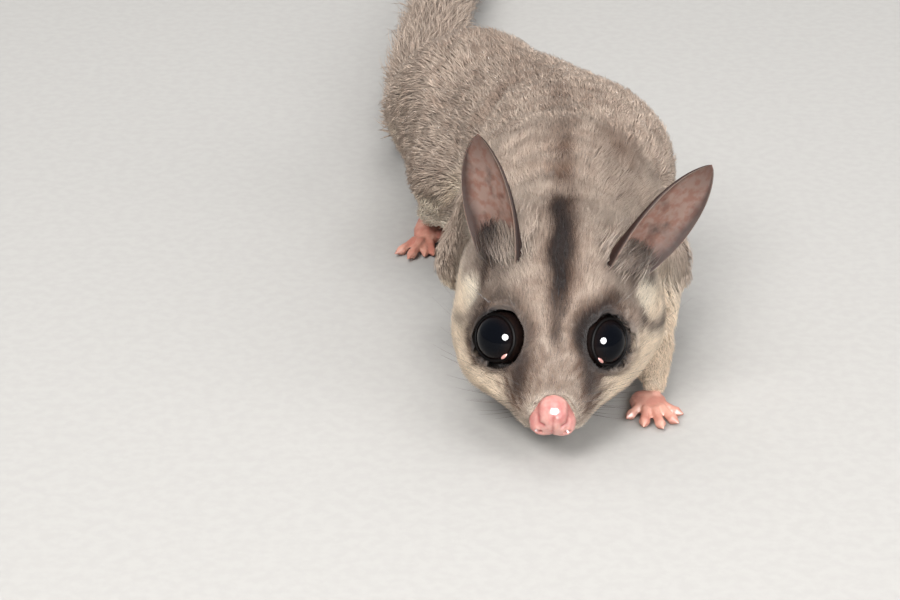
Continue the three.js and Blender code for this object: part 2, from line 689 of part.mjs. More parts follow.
/** Radius of the core that the locks grow from. */
function coreRadius(distance) {
  const narrowing = THREE.MathUtils.smoothstep(distance, TAIL_START, TAIL_START + 22);
  const taper = 1 - 0.5 * THREE.MathUtils.smoothstep(distance, TAIL_LENGTH * 0.45, TAIL_LENGTH);
  return THREE.MathUtils.lerp(TAIL_BASE - 0.4, TAIL_CORE * taper, narrowing);
}

/** One flat, tapered lock that leaves the core and lies back along it, made larger by a growth. */
function makeLock({ start, angle, length, width }, growth = 0) {
  const outwards = ({ across, rise }) =>
    across.clone().multiplyScalar(Math.cos(angle)).addScaledVector(rise, Math.sin(angle));
  const stop = (share) => {
    const station = tailAt(start + length * share);
    const root = coreRadius(start) - LOCK_ROOT;
    const radius = THREE.MathUtils.lerp(root, brush(start + length), share ** 0.6);
    const p = station.at.addScaledVector(outwards(station), radius);
    return p.setZ(Math.max(p.z, LOCK_THICKNESS * 0.3));
  };
  const middle = through(stop(0), stop(0.33), stop(0.66), stop(1));
  const taper = (t) => (0.5 + 1.9 * t * (1 - t)) * (1 - t ** 3);
  const section = (t) => [
    ((width / 2) * taper(t) + growth) * rounded(Math.min(t, 0.5), 0.1),
    ((LOCK_THICKNESS / 2) * (1 - 0.5 * t) + growth) * rounded(t, 0.1),
  ];
  return solid(sweep(middle, section, 4, 5, outwards(tailAt(start))));
}

/** Every lock of the tail as a place, a length and a width, in half rings that are staggered. */
function tailLocks(end) {
  const roll = dice(11);
  const locks = [];
  for (let start = TAIL_START + LOCK_MARGIN, ring = 0; start < end; start += LOCK_STEP, ring++) {
    const thin = Math.min(1, brush(start + LOCK_LENGTH) / TAIL_BRUSH + 0.15);
    for (let m = ring % 2; m < LOCKS_AROUND; m += 2) {
      const angle = ((m + 0.2 * (roll() - 0.5)) * 2 * Math.PI) / LOCKS_AROUND + LOCK_TURN;
      const length = LOCK_LENGTH * (0.94 + 0.12 * roll());
      locks.push({ start, angle, length, width: LOCK_WIDTH * thin * (0.92 + 0.16 * roll()) });
    }
  }
  return locks;
}

/** The lengths of the tail, from its root to its tip, each a core with the locks that grow from it. */
function makeTail() {
  const coreEnd = TAIL_LENGTH - LOCK_LENGTH / 2;
  const coreLine = through(...Array.from({ length: 14 }, (_, n) => tailAt((coreEnd * n) / 13).at));
  const section = (t) => Array(2).fill(coreRadius(t * coreEnd) * rounded(t, 0.03));
  const ends = [...TAIL_CUTS, TAIL_LENGTH];
  const locks = tailLocks(coreEnd - LOCK_MARGIN);
  const pieces = {};
  const core = solid(sweep(coreLine, section, 8, 20));
  let [, rest] = partAt(core, tailAt(TAIL_START).at, tailAt(TAIL_START).along);
  let from = TAIL_START;
  let reachingOver = [];
  ["tail_front", "tail_middle", "tail_tip"].forEach((name, n) => {
    const to = ends[n];
    const own = locks.filter(({ start }) => start > from && start < to - LOCK_MARGIN);
    let length = rest;
    if (n < TAIL_CUTS.length) [length, rest] = partAt(rest, tailAt(to).at, tailAt(to).along);
    for (const lock of own) length = length.add(makeLock(lock));
    for (const lock of reachingOver) length = length.subtract(makeLock(lock, GAP));
    pieces[name] = aboveFloor(length);
    reachingOver = own.filter((lock) => lock.start + lock.length > to);
    from = to;
  });
  return pieces;
}

// Assembly

const glider = new THREE.Group();
glider.add(headFrame);

function addPiece(parent, name, shape, material) {
  const mesh = new THREE.Mesh(geometryOf(shape), material);
  mesh.name = name;
  parent.add(mesh);
}

const head = makeHead();
const aroundEars = new THREE.Box3(v3(-20, 18, -2), v3(20, 42, 22));
const headClearance = solid(surfaceOf((p) => wholeInHead(p) - CLEARANCE, aroundEars, HEAD_CELL)).add(head);
addPiece(headFrame, "head", head, COAT);
addPiece(headFrame, "nose", makeNose(), NOSE_SKIN);
for (const [name, s] of Object.entries(SIDES)) {
  addPiece(headFrame, "eye_" + name, eyeball(s, EYE_RADIUS), EYE_GLASS);
  addPiece(headFrame, "ear_" + name, makeEar(EARS[name]).subtract(headClearance), EAR_SKIN);
}

for (const [name, shape] of Object.entries(makeTrunk())) addPiece(glider, name, shape, COAT);

const limbsReach = TRUNK_BOX.clone().expandByPoint(v3(0, 8, 0));
const bodyClearance = solid(surfaceOf((p) => whole(p) - CLEARANCE, limbsReach, BODY_CELL));
for (const [name, s] of Object.entries(SIDES)) {
  const at = limbPoints(s);
  const kneeBack = at.knee.clone().add(v3(0, 2, -4));
  const forearm = (growth) => makeLength(at.elbow, at.wrist, 5.2, 2.7, v3(s * 0.5, 0, -1), growth);
  const shank = (growth) => makeLength(kneeBack, at.ankle, 6, 3, v3(s * 1, 3, -1), growth);
  const palm = makeSole(HAND, at.hand, 16 * s, GAP);
  const sole = makeSole(FOOT, at.foot, 14 * s, GAP);
  const patagium = makePatagium(s).subtract(bodyClearance).subtract(forearm(GAP)).subtract(shank(GAP));
  addPiece(glider, "forearm_" + name, forearm(0).subtract(bodyClearance).subtract(palm), COAT);
  addPiece(glider, "hand_" + name, makePaw(HAND, at.hand, s, 16), PAW_SKIN);
  addPiece(glider, "shank_" + name, shank(0).subtract(bodyClearance).subtract(sole), COAT);
  addPiece(glider, "foot_" + name, makePaw(FOOT, at.foot, s, 14), PAW_SKIN);
  addPiece(glider, "patagium_" + name, patagium, CREAM);
}
for (const [name, shape] of Object.entries(makeTail())) addPiece(glider, name, shape, TAIL_FUR);

// The origin is on the floor, under the middle of the whole animal.
const extent = new THREE.Box3().setFromObject(glider, true);
glider.position.set(-(extent.min.x + extent.max.x) / 2, -(extent.min.y + extent.max.y) / 2, -extent.min.z);

export default glider;
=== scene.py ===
"""A still, life-size sugar glider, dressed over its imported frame.

Metres, +Z up. The animal faces -Y and its left side is +X. One skin covers the body, and the coat
is solid tufts that grow from it. Skin and coat read the same markings from point attributes.
"""

from __future__ import annotations

import json
import logging
import math
from contextlib import contextmanager
from dataclasses import dataclass, field
from enum import Enum
from typing import Callable, Iterator, Sequence

import bpy
import numpy as np
from mathutils import Matrix, Vector
from mathutils.bvhtree import BVHTree

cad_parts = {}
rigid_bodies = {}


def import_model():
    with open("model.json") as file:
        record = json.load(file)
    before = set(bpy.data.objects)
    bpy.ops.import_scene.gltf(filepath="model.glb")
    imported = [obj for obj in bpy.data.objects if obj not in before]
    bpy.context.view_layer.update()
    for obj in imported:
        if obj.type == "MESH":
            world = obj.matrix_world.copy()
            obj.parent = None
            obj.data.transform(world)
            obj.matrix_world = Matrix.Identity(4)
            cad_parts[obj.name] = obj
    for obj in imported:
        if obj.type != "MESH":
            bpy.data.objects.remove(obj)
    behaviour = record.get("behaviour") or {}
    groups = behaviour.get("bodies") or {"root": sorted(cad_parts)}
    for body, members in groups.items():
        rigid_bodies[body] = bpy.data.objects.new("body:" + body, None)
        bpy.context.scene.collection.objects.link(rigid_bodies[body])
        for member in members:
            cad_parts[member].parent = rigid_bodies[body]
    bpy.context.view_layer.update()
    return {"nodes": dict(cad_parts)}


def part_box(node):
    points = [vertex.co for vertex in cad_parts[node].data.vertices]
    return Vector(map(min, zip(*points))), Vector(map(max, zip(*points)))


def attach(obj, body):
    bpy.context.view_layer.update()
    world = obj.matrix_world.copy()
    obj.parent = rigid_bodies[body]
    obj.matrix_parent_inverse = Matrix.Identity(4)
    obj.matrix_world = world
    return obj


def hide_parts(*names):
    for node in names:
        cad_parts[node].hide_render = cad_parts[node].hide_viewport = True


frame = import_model()

LOG = logging.getLogger("glider")
MM = 0.001
SIDES = {"left": 1, "right": -1}
TRIANGLES_A_PIECE = 196000


class Mark(Enum):
    """The masks that skin and coat share, each a point attribute from 0 to 1."""

    DARK = "dark"
    BROWN = "brown"
    CREAM = "cream"
    TAWNY = "tawny"


# Small mathematics


def unit(v: np.ndarray) -> np.ndarray:
    """Vectors at length one."""
    return v / np.maximum(np.linalg.norm(v, axis=-1, keepdims=True), 1e-12)


def ease(low: float, high: float, x: np.ndarray) -> np.ndarray:
    """A smooth step from 0 at low to 1 at high."""
    t = np.clip((x - low) / (high - low), 0, 1)
    return t * t * (3 - 2 * t)


def hump(distance: np.ndarray, width: float) -> np.ndarray:
    """A round hump, 1 at no distance."""
    return np.exp(-((distance / width) ** 2))


def far(points: np.ndarray, place: Sequence[float], scale: Sequence[float] | float = 1.0) -> np.ndarray:
    """How far points lie from a place, with each axis stretched by the scale."""
    return np.linalg.norm((points - np.asarray(place)) * scale, axis=1)


def from_segment(points: np.ndarray, start: np.ndarray, end: np.ndarray) -> tuple[np.ndarray, np.ndarray]:
    """How far points lie from a straight stretch, and the share of the way along it."""
    along = end - start
    share = np.clip(((points - start) @ along) / (along @ along), 0, 1)
    return np.linalg.norm(points - start - share[:, None] * along, axis=1), share


def near_line(points: np.ndarray, stops: Sequence[Sequence[float]]) -> tuple[np.ndarray, np.ndarray]:
    """How far points lie from a line of stops.

    Args:
        points: Places, one a row.
        stops: The line's corners, in the same units.

    Returns:
        The distances, and the share of the way along the line.
    """
    stops = np.asarray(stops, float)
    best = np.full(len(points), np.inf)
    share = np.zeros(len(points))
    for n, (a, b) in enumerate(zip(stops[:-1], stops[1:])):
        distance, t = from_segment(points, a, b)
        closer = distance < best
        best = np.where(closer, distance, best)
        share = np.where(closer, (n + t) / (len(stops) - 1), share)
    return best, share


def ripple(points: np.ndarray, size: float, seed: int) -> np.ndarray:
    """Smooth noise from about -1 to 1.

    Args:
        points: Places, one a row.
        size: How wide one bump is, in the points' units.
        seed: Picks the pattern.

    Returns:
        One value for each point.
    """
    rng = np.random.default_rng(seed)
    total = np.zeros(len(points))
    for _ in range(7):
        wave = unit(rng.normal(size=3)) * math.pi / (size * rng.uniform(0.6, 1.5))
        total += np.sin(points @ wave + rng.uniform(0, 2 * math.pi))
    return np.clip(total / 3, -1, 1)


def turned(axis: str, degrees: float) -> np.ndarray:
    """A turn about one axis as a 3 by 3 array."""
    return np.array(Matrix.Rotation(math.radians(degrees), 3, axis))


# The animal's own places


def middle(node: str) -> np.ndarray:
    """The middle of a frame node's box."""
    low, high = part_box(node)
    return np.array((low + high) / 2)


@dataclass(frozen=True)
class HeadFrame:
    """The head's own axes: x across, y back from the nose pad, z towards the crown, in millimetres."""

    pitch: float = 27  # degrees, nose down
    roll: float = 0.5
    turn: float = 2
    eye: tuple[float, float, float] = (7.5, 14.2, 2.2)  # left eye, right mirrored
    eye_radius: float = 4.35
    eye_shift: float = -0.6  # both eyes, as the head's turn shows them
    looks: tuple[float, float, float] = (0.63, -0.48, 0.62)
    looks_aside: float = 0.08

    @property
    def axes(self) -> np.ndarray:
        """The three axes as columns."""
        return turned("Y", self.roll) @ turned("X", self.pitch) @ turned("Z", -self.turn)

    @property
    def origin(self) -> np.ndarray:
        """The nose pad's place, worked out from the eyes of the frame."""
        between = (middle("eye_left") + middle("eye_right")) / 2
        return between - self.axes @ np.array((0, self.eye[1], self.eye[2])) * MM

    def into(self, points: np.ndarray) -> np.ndarray:
        """Places in the head's own millimetres."""
        return (points - self.origin) @ self.axes / MM

    def out(self, local: Sequence[float] | np.ndarray) -> np.ndarray:
        """Head millimetres as places of the part."""
        return self.origin + np.asarray(local, float) @ self.axes.T * MM

    def aim(self, local: Sequence[float] | np.ndarray) -> np.ndarray:
        """A head direction as a unit vector of the part."""
        return unit(np.asarray(local, float) @ self.axes.T)

    def eye_at(self, side: int) -> np.ndarray:
        """The middle of one eyeball, in head millimetres."""
        return np.array((side * self.eye[0] + self.eye_shift, self.eye[1], self.eye[2]))

    def eye_looks(self, side: int) -> np.ndarray:
        """Where one eye looks, in the head's axes."""
        return unit(np.array((side * self.looks[0] + self.looks_aside, self.looks[1], self.looks[2])))


HEAD = HeadFrame()
EYE_OPENING = 56  # degrees from where an eye looks to the edge of its lids
EYE_RISES = (0, 0.45, 0.9)  # towards the upper lid, in the head's axes
# Places in head millimetres, and then where each ear points and opens in the head's axes
NOSE_MIDDLE = np.array((0, 1.8, -1.2))
MOUTH = ((0, 2.4, -4.6), (2.9, 4, -5), (5, 7.6, -6), (7.2, 12, -6.8))  # its left half
SIDE_PATCH = np.array((14.6, 21.6, 2.4))  # the pale patch behind the left eye
EAR_ROOTS = {"left": np.array((10.6, 28.6, 7.6)), "right": np.array((-7.3, 28.8, 7.8))}
EAR_POINTS = {"left": np.array((0.72, 0.38, 0.6)), "right": np.array((-0.35, 0.38, 0.855))}
EAR_OPENS = {"left": np.array((0.42, -0.9, 0.06)), "right": np.array((-0.72, -0.64, 0.26))}
# The crease before the haunch, in shares of the rear trunk's box
CREASE = ((0.16, -0.12, 0.3), (0.33, 0.02, 0.7), (0.63, 0.22, 1.0))
HEAD_ENDS = 46  # head millimetres behind the nose
TAIL_NODES = ("tail_front", "tail_middle", "tail_tip")


def tail_line(stations: int = 13) -> np.ndarray:
    """The tail's middle line from its root to its tip, found from the frame's own tail."""
    points = np.vstack([[v.co[:] for v in frame["nodes"][n].data.vertices] for n in TAIL_NODES])
    low, high = points[:, 1].min(), points[:, 1].max()
    edges = np.linspace(low, high, stations + 1)
    line = []
    for a, b in zip(edges[:-1], edges[1:]):
        slab = points[(points[:, 1] >= a) & (points[:, 1] < b)]
        line.append([(slab[:, 0].min() + slab[:, 0].max()) / 2, (a + b) / 2, slab[:, 2].mean()])
    line = np.array(line)
    line[1:-1] = (line[:-2] + 2 * line[1:-1] + line[2:]) / 4
    start = np.array((line[0][0] + 0.5 * MM, low - 4 * MM, line[0][2] + 2.5 * MM))
    return np.vstack([start, line])


TAIL_LINE = tail_line()
TAIL_STARTS = TAIL_LINE[0][1]


def past_root(points: np.ndarray, low: float, high: float) -> np.ndarray:
    """A smooth step from low to high, in millimetres behind the tail's root."""
    return ease(TAIL_STARTS + low * MM, TAIL_STARTS + high * MM, points[:, 1])


@dataclass(frozen=True)
class Stretch:
    """A stretch of the body and the coat that grows round it, with values at its start and end."""

    start: np.ndarray
    end: np.ndarray
    girth: tuple[float, float]  # metres, radius of the body
    hair: tuple[float, float]  # metres, length of the tufts
    depth: tuple[float, float]  # metres, how thick the coat lies
    crowd: tuple[float, float]  # tufts on a square millimetre
    width: tuple[float, float]  # metres, of one tuft
    lie: tuple[float, float, float] | None = None  # where the coat points, if not along the stretch


class Body:
    """The body's stretches, which say how long, deep and dense the coat is and where it lies."""

    def __init__(self) -> None:
        """Reads the places of the stretches from the frame."""
        out = HEAD.out
        nape = out((0, 36, 0))
        chest, loin, rump = middle("torso_front"), middle("torso_rear"), middle("tail_root")
        # start, end, girth, hair, depth, crowd and width of each stretch, in millimetres
        rows = [
            (out((0, 0, -1)), out((0, 9, 0)), (4, 6), (0.8, 1.3), (0.22, 0.4), (46, 38), (0.12, 0.13)),
            (out((0, 9, 0)), out((0, 22, 1)), (6, 12), (1.3, 2.2), (0.4, 0.7), (38, 28), (0.13, 0.16)),
            (out((0, 22, 1)), nape, (12, 12), (2.2, 3), (0.7, 1), (28, 16), (0.16, 0.19)),
            (nape, chest, (12, 17), (3, 3.8), (1, 1.2), (18, 8.6), (0.19, 0.23)),
            (chest, loin, (17, 16), (3.8, 4.4), (1.2, 1.3), (8.6, 8), (0.23, 0.25)),
            (loin, rump, (16, 9), (4.4, 6), (1.3, 1.6), (8, 7), (0.25, 0.27)),
        ]
        lies: list[tuple[float, float, float] | None] = [None] * len(rows)
        for side in SIDES:
            arm, fore, hand = (middle(f"{n}_{side}") for n in ("upper_arm", "forearm", "hand"))
            thigh, shank, foot = (middle(f"{n}_{side}") for n in ("thigh", "shank", "foot"))
            wrist = hand + np.array((0, 3, 2)) * MM
            ankle = shank + (shank - thigh) * 0.25
            rows += [
                (arm + np.array((0, 0, 4)) * MM, fore, (8, 5), (3.4, 2.4), (1.1, 0.7), (8, 12), (0.24, 0.2)),
                (fore, wrist, (4.5, 2.7), (2.4, 1.5), (0.7, 0.35), (14, 22), (0.2, 0.15)),
                (thigh + np.array((0, 5, 4)) * MM, thigh,
                 (12, 11), (4.4, 4), (1.4, 1.3), (7, 7.4), (0.27, 0.26)),
                (thigh, shank, (11, 5), (4, 2.6), (1.3, 0.8), (7.4, 12), (0.26, 0.2)),
                (shank, ankle, (4.5, 3), (2.6, 1.6), (0.8, 0.4), (13, 18), (0.2, 0.16)),
            ]
            lies += [None, None, (0, 0.8, -0.6), (0, 0.6, -0.8), None]
        for n, (a, b) in enumerate(zip(TAIL_LINE[:-1], TAIL_LINE[1:])):
            t, u = n / (len(TAIL_LINE) - 1), (n + 1) / (len(TAIL_LINE) - 1)
            hair = [(5 + 8 * min(1, 5 * s)) * (1 - 0.4 * s**4) for s in (t, u)]
            depth = [(1.2 + 3.4 * min(1, 5 * s)) * (1 - 0.4 * s) for s in (t, u)]
            rows.append((a, b, (5.5 - 1.5 * t, 5.5 - 1.5 * u), hair, depth, (4.8, 4.8), (0.3, 0.3)))
            lies.append(None)
        self.stretches = [
            Stretch(a, b, *(tuple(v * MM for v in pair) for pair in (girth, hair, depth)), crowd,
                    tuple(v * MM for v in width), lie)
            for (a, b, girth, hair, depth, crowd, width), lie in zip(rows, lies)
        ]
        LOG.info("body: %d stretches", len(self.stretches))

    def at(self, points: np.ndarray) -> dict[str, np.ndarray]:
        """What the coat is like at points of the skin.

        Args:
            points: Places of the part, one a row.

        Returns:
            hair, depth, crowd, width and lie at each point, blended between the stretches near it.
        """
        total = np.full(len(points), 1e-9)
        sums = {name: np.zeros(len(points)) for name in ("hair", "depth", "crowd", "width")}
        lie = np.zeros((len(points), 3))
        for s in self.stretches:
            distance, t = from_segment(points, s.start, s.end)
            beyond = distance - (s.girth[0] + (s.girth[1] - s.girth[0]) * t)
            weight = np.exp(-np.clip(beyond, -20 * MM, 60 * MM) / (1.8 * MM))
            total += weight
            for name in sums:
                start, end = getattr(s, name)
                sums[name] += weight * (start + (end - start) * t)
            lie += weight[:, None] * (unit(s.end - s.start) if s.lie is None else np.array(s.lie))
        found = {name: value / total for name, value in sums.items()}
        found["lie"] = unit(lie)
        self.round_ears(points, found)
        return found

    @staticmethod
    def round_ears(points: np.ndarray, found: dict[str, np.ndarray]) -> None:
        """Lengthens the coat at the foot of each ear and lets it rise along the ear.

        Args:
            points: Places of the part, one a row.
            found: What the coat is like there, which this changes.
        """
        h = HEAD.into(points)
        for name in SIDES:
            close = hump(np.maximum(far(h, EAR_ROOTS[name]) - 4, 0), 2.4)
            found["hair"] = found["hair"] + close * 1.2 * MM
            found["depth"] = found["depth"] + close * 0.3 * MM
            found["lie"] = unit(found["lie"] + 1.5 * close[:, None] * HEAD.aim(EAR_POINTS[name]))


class Markings:
    """The coat's pattern, worked out from the body's own places by formulas."""

    def at(self, points: np.ndarray, normals: np.ndarray) -> dict[Mark, np.ndarray]:
        """The masks at points of the skin.

        Args:
            points: Places of the part, one a row.
            normals: The skin's outward directions there.

        Returns:
            One array from 0 to 1 for each mark.
        """
        h = HEAD.into(points)
        on_head = ease(HEAD_ENDS, 36, h[:, 1])
        blotch = ripple(h, 3.2, 4)
        dark, brown = self.stripe(h, blotch)
        ring_dark, ring_brown = self.eye_rings(h, blotch)
        ear = np.maximum(self.ear_bases(h, blotch), 0.9 * self.patch_edges(h, blotch))
        stipple = 0.5 + 0.5 * ripple(h, 0.5, 9)
        bridge = ease(15, 8, h[:, 1]) * ease(-3, 0, h[:, 2]) * 0.55
        pads = hump(np.hypot(np.abs(h[:, 0]) - 5.8, (h[:, 1] - 6.8) * 0.6), 3.3)
        pads *= ease(-4.4, -2, h[:, 2]) * 1.7
        dark = np.maximum.reduce([dark, ring_dark * on_head, ear * 0.9 * on_head])
        brown = np.maximum.reduce([brown, ring_brown * on_head, np.maximum(bridge, pads) * stipple * on_head])
        for side in SIDES.values():
            dark, brown = (value * (1 - 0.95 * self.side_patch(h, side)) for value in (dark, brown))
        cream, tawny = self.pale_parts(points, normals, h, on_head)
        tail = self.tail_shade(points)
        # The back's brown, which also carries painted shade along the crease before the haunch.
        patch = self.back_marks_and_crease_shade(h, points)
        marks = {
            Mark.DARK: np.maximum(dark, tail),
            Mark.BROWN: np.maximum(brown, patch) + 0.06 * ripple(points / MM, 6, 21) + 0.05 * blotch
            + 0.12 * (1 - on_head),
            Mark.CREAM: cream * (1 - dark) * (1 - 0.8 * brown),
            Mark.TAWNY: tawny,
        }
        return {name: np.clip(value, 0, 1) for name, value in marks.items()}

    @staticmethod
    def stripe(h: np.ndarray, blotch: np.ndarray) -> tuple[np.ndarray, np.ndarray]:
        """The dark stripe from between the eyes over the crown, and its brown edges and ends."""
        y = h[:, 1]
        x = h[:, 0] - 0.6 * ease(12, 20, y) + 0.35 * blotch
        top = ease(-3, 3, h[:, 2])
        half = 0.8 + 1.15 * ease(12, 21, y) - 0.4 * ease(32, 44, y)
        core = np.exp(-np.abs(x / half) ** 3)
        strength = (0.75 * ease(8.5, 12, y) + 0.25 * ease(14, 19, y)) * (1 - 0.8 * ease(30, 39, y))
        dark = core * strength * top * (0.9 + 0.3 * blotch)
        wide = np.exp(-np.abs(x / (half * 1.55)) ** 2.5)
        fade = ease(5, 12, y) * (1 - 0.6 * ease(34, 60, y))
        return dark, wide * fade * top * (0.85 + 0.25 * blotch)

    @staticmethod
    def eye_rings(h: np.ndarray, blotch: np.ndarray) -> tuple[np.ndarray, np.ndarray]:
        """The dark rings round the eyes, with the smears before, above and behind them."""
        dark, brown = np.zeros(len(h)), np.zeros(len(h))
        for side in SIDES.values():
            m = h * np.array((side, 1, 1))
            beyond = far(h, HEAD.eye_at(side)) - HEAD.eye_radius
            ring = hump(np.maximum(beyond - 0.35, 0), 0.9)
            front, _ = near_line(m, [(6, 11, 3.2), (5.6, 8.6, 2.2), (5.6, 6, -0.2)])
            over, up = near_line(m, [(7.4, 15.5, 7.2), (9.2, 17.6, 7.6), (9.2, 20.5, 8.4)])
            behind, _ = near_line(m, [(10.6, 25, 6.4), (11.2, 23, 5), (12.3, 20, 3.6), (13.8, 17.5, 1.8)])
            dark = np.maximum.reduce([
                dark, ring, hump(behind, 0.9) * 0.8, hump(over, 1.8) * (1 - up), hump(front, 1.9) * 0.85,
            ])
            brown = np.maximum.reduce([
                brown, hump(np.maximum(beyond - 0.6, 0), 1.7) * 0.85, hump(front, 2.8),
                hump(over, 2.6) * (1 - 0.7 * up), hump(behind, 1.6) * 0.7,
            ])
        return dark * (0.97 + 0.15 * blotch), brown * (0.95 + 0.25 * blotch)

    @staticmethod
    def side_patch(h: np.ndarray, side: int) -> np.ndarray:
        """The pale patch behind one eye, below its ear."""
        return ease(3.4, 1.6, far(h * (side, 1, 1), SIDE_PATCH, (0.8, 0.8, 0.75)))

    @staticmethod
    def patch_edges(h: np.ndarray, blotch: np.ndarray) -> np.ndarray:
        """The dark line that curves round the back of the pale patch behind each eye."""
        dark = np.zeros(len(h))
        for side in SIDES.values():
            line = [(15.6, 27.5, 6), (17.2, 26, 3.6), (18, 24, 1.2), (17, 20.4, -0.8), (14.8, 17.8, 0.4)]
            distance, _ = near_line(h * (side, 1, 1), smooth_line(line, 12))
            dark = np.maximum(dark, hump(distance, 1.25))
        return dark * (0.85 + 0.25 * blotch)

    @staticmethod
    def ear_bases(h: np.ndarray, blotch: np.ndarray) -> np.ndarray:
        """Dark fur round the foot of each ear, most of it before and below."""
        dark = np.zeros(len(h))
        for name, side in SIDES.items():
            root = EAR_ROOTS[name] + np.array((side * 2.2, -1.4, -1.6))
            dark = np.maximum(dark, hump(far(h, root, (1, 0.9, 0.85)), 4.5))
        return dark * (1.1 + 0.25 * blotch)

    @staticmethod
    def pale_parts(
        points: np.ndarray, normals: np.ndarray, h: np.ndarray, on_head: np.ndarray
    ) -> tuple[np.ndarray, np.ndarray]:
        """Cream on cheeks, throat, belly and the inner limbs, with a tawny tinge where it begins."""
        height = h[:, 2] + 0.14 * (h[:, 1] - 8) - 0.5 * np.maximum(np.abs(h[:, 0]) - 8, 0)
        cheek = ease(2.6, -1.2, height) * ease(3, 8, h[:, 1]) * on_head
        snout = hump(np.hypot(h[:, 0] * 0.9, h[:, 1] - 3), 3.4) * ease(1.5, -3, h[:, 2]) * 0.8
        pad_rim = hump(np.maximum(far(h, NOSE_MIDDLE) - 3.2, 0), 0.8)
        snout = np.maximum(snout, 0.85 * pad_rim)
        below = ease(0.1, -0.5, normals[:, 2]) * (1 - on_head)
        below *= past_root(points, 4, -10)
        fore = np.zeros(len(points))
        for side in SIDES:
            stops = [middle(f"upper_arm_{side}"), middle(f"forearm_{side}"), middle(f"hand_{side}")]
            distance, share = near_line(points, stops)
            fore = np.maximum(fore, hump(np.maximum(distance - 4 * MM, 0), 3.5 * MM) * ease(0.0, 0.5, share))
        side_patch = np.maximum(*(Markings.side_patch(h, side) for side in SIDES.values()))
        fold = ease(13 * MM, 8 * MM, points[:, 2]) * past_root(points, 0, -10)
        cream = np.maximum.reduce([cheek, snout, below * 0.95, fold * 0.75 * (1 - on_head), fore, side_patch])
        tawny = np.maximum(cheek * 0.35, fore * 0.45) + 0.35 * hump(below - 0.5, 0.3) * (1 - on_head)
        return cream, tawny

    @staticmethod
    def tail_shade(points: np.ndarray) -> np.ndarray:
        """The tail darkens towards its tip."""
        _, share = near_line(points, TAIL_LINE)
        return past_root(points, -12, 10) * (0.12 + 0.75 * ease(0.35, 0.95, share))

    @staticmethod
    def back_marks_and_crease_shade(h: np.ndarray, points: np.ndarray) -> np.ndarray:
        """Brown over the neck and back: a darker patch on the left of the neck, painted shade along the
        crease before the haunch, and the faint stripe down the spine.
        """
        # Painted shade: the crease before the haunch is darkened in the brown mark.
        crease = hump(near_line(points, crease_line())[0], 2.4 * MM) * 0.45
        nodes = ("torso_front", "torso_rear", "tail_root")
        spine = np.array([HEAD.out((0, 34, 10)), *(middle(node) for node in nodes)])
        across = points[:, 0] - np.interp(points[:, 1], spine[:, 1], spine[:, 0])
        top = ease(20 * MM, 34 * MM, points[:, 2])
        stripe = np.exp(-np.abs(across / (4.2 * MM)) ** 2.4) * 0.2 * top
        patch = hump(far(h, (10.5, 52, 5.5), (1, 0.8, 0.8)), 4.2) * 0.6
        return np.maximum.reduce([stripe, patch, crease])


def crease_line() -> np.ndarray:
    """The crease between the flank and the haunch, over the animal's right side and back."""
    low, high = (np.array(corner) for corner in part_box("torso_rear"))
    return low + np.array(CREASE) * (high - low)


# Skin


def read(rows: bpy.types.bpy_prop_collection, name: str, width: int, kind: type = np.float32) -> np.ndarray:
    """One property of all rows of a mesh, as an array of some width."""
    flat = np.empty(len(rows) * width, kind)
    rows.foreach_get(name, flat)
    return flat.reshape(-1, width)


class Surface:
    """A mesh's points, triangles and edges as arrays, so that they can be shaped by formulas."""

    def __init__(self, piece: bpy.types.Object) -> None:
        """Reads a mesh object.

        Args:
            piece: The object to shape.
        """
        self.piece = piece
        mesh = piece.data
        mesh.calc_loop_triangles()
        self.points = read(mesh.vertices, "co", 3).astype(float)
        self.edges = read(mesh.edges, "vertices", 2, np.int32)
        self.triangles = read(mesh.loop_triangles, "vertices", 3, np.int32)

    def normals(self) -> np.ndarray:
        """The outward direction at each point."""
        a, b, c = (self.points[self.triangles[:, n]] for n in range(3))
        faces = np.cross(b - a, c - a)
        total = np.zeros_like(self.points)
        for corner in range(3):
            for axis in range(3):
                total[:, axis] += np.bincount(self.triangles[:, corner], faces[:, axis], len(self.points))
        return unit(total)

    def average(self, values: np.ndarray) -> np.ndarray:
        """Each point's mean of its neighbours' values."""
        i, j = self.edges.T
        count = np.bincount(i, minlength=len(values)) + np.bincount(j, minlength=len(values))
        columns = [
            np.bincount(i, values[j, axis], len(values)) + np.bincount(j, values[i, axis], len(values))
            for axis in range(values.shape[1])
        ]
        return np.stack(columns, 1) / np.maximum(count, 1)[:, None]

    def smooth(self, rounds: int, weight: np.ndarray | float = 1.0) -> None:
        """Evens the surface out without shrinking it.

        Args:
            rounds: How many times.
            weight: 0 to 1 for each point, how much it takes part.
        """
        weight = np.broadcast_to(np.asarray(weight, float), (len(self.points),))[:, None]
        inwards, outwards = 0.55, -0.565
        for step in (inwards, outwards) * rounds:
            self.points += step * weight * (self.average(self.points) - self.points)

    def write(self) -> None:
        """Puts the points back into the mesh."""
        self.piece.data.vertices.foreach_set("co", self.points.astype(np.float32).ravel())
        self.piece.data.update()


def select_only(*pieces: bpy.types.Object) -> None:
    """Selects these objects alone and makes the first one active."""
    bpy.ops.object.select_all(action="DESELECT")
    for piece in pieces:
        piece.select_set(True)
    bpy.context.view_layer.objects.active = pieces[0]


@contextmanager
def editing(piece: bpy.types.Object) -> Iterator[None]:
    """Edit mode on one piece, with all of it selected at first."""
    select_only(piece)
    bpy.ops.object.mode_set(mode="EDIT")
    bpy.ops.mesh.select_all(action="SELECT")
    yield
    bpy.ops.object.mode_set(mode="OBJECT")


def smooth_faces(piece: bpy.types.Object) -> None:
    """Shades a piece smoothly."""
    faces = piece.data.polygons
    faces.foreach_set("use_smooth", np.ones(len(faces), bool))


def primitive(name: str, add: Callable[..., object], **sizes: float) -> bpy.types.Object:
    """A basic shape at the origin, shaded smoothly."""
    bpy.ops.object.select_all(action="DESELECT")
    add(**sizes)
    piece = bpy.context.object
    piece.name = name
    smooth_faces(piece)
    return piece


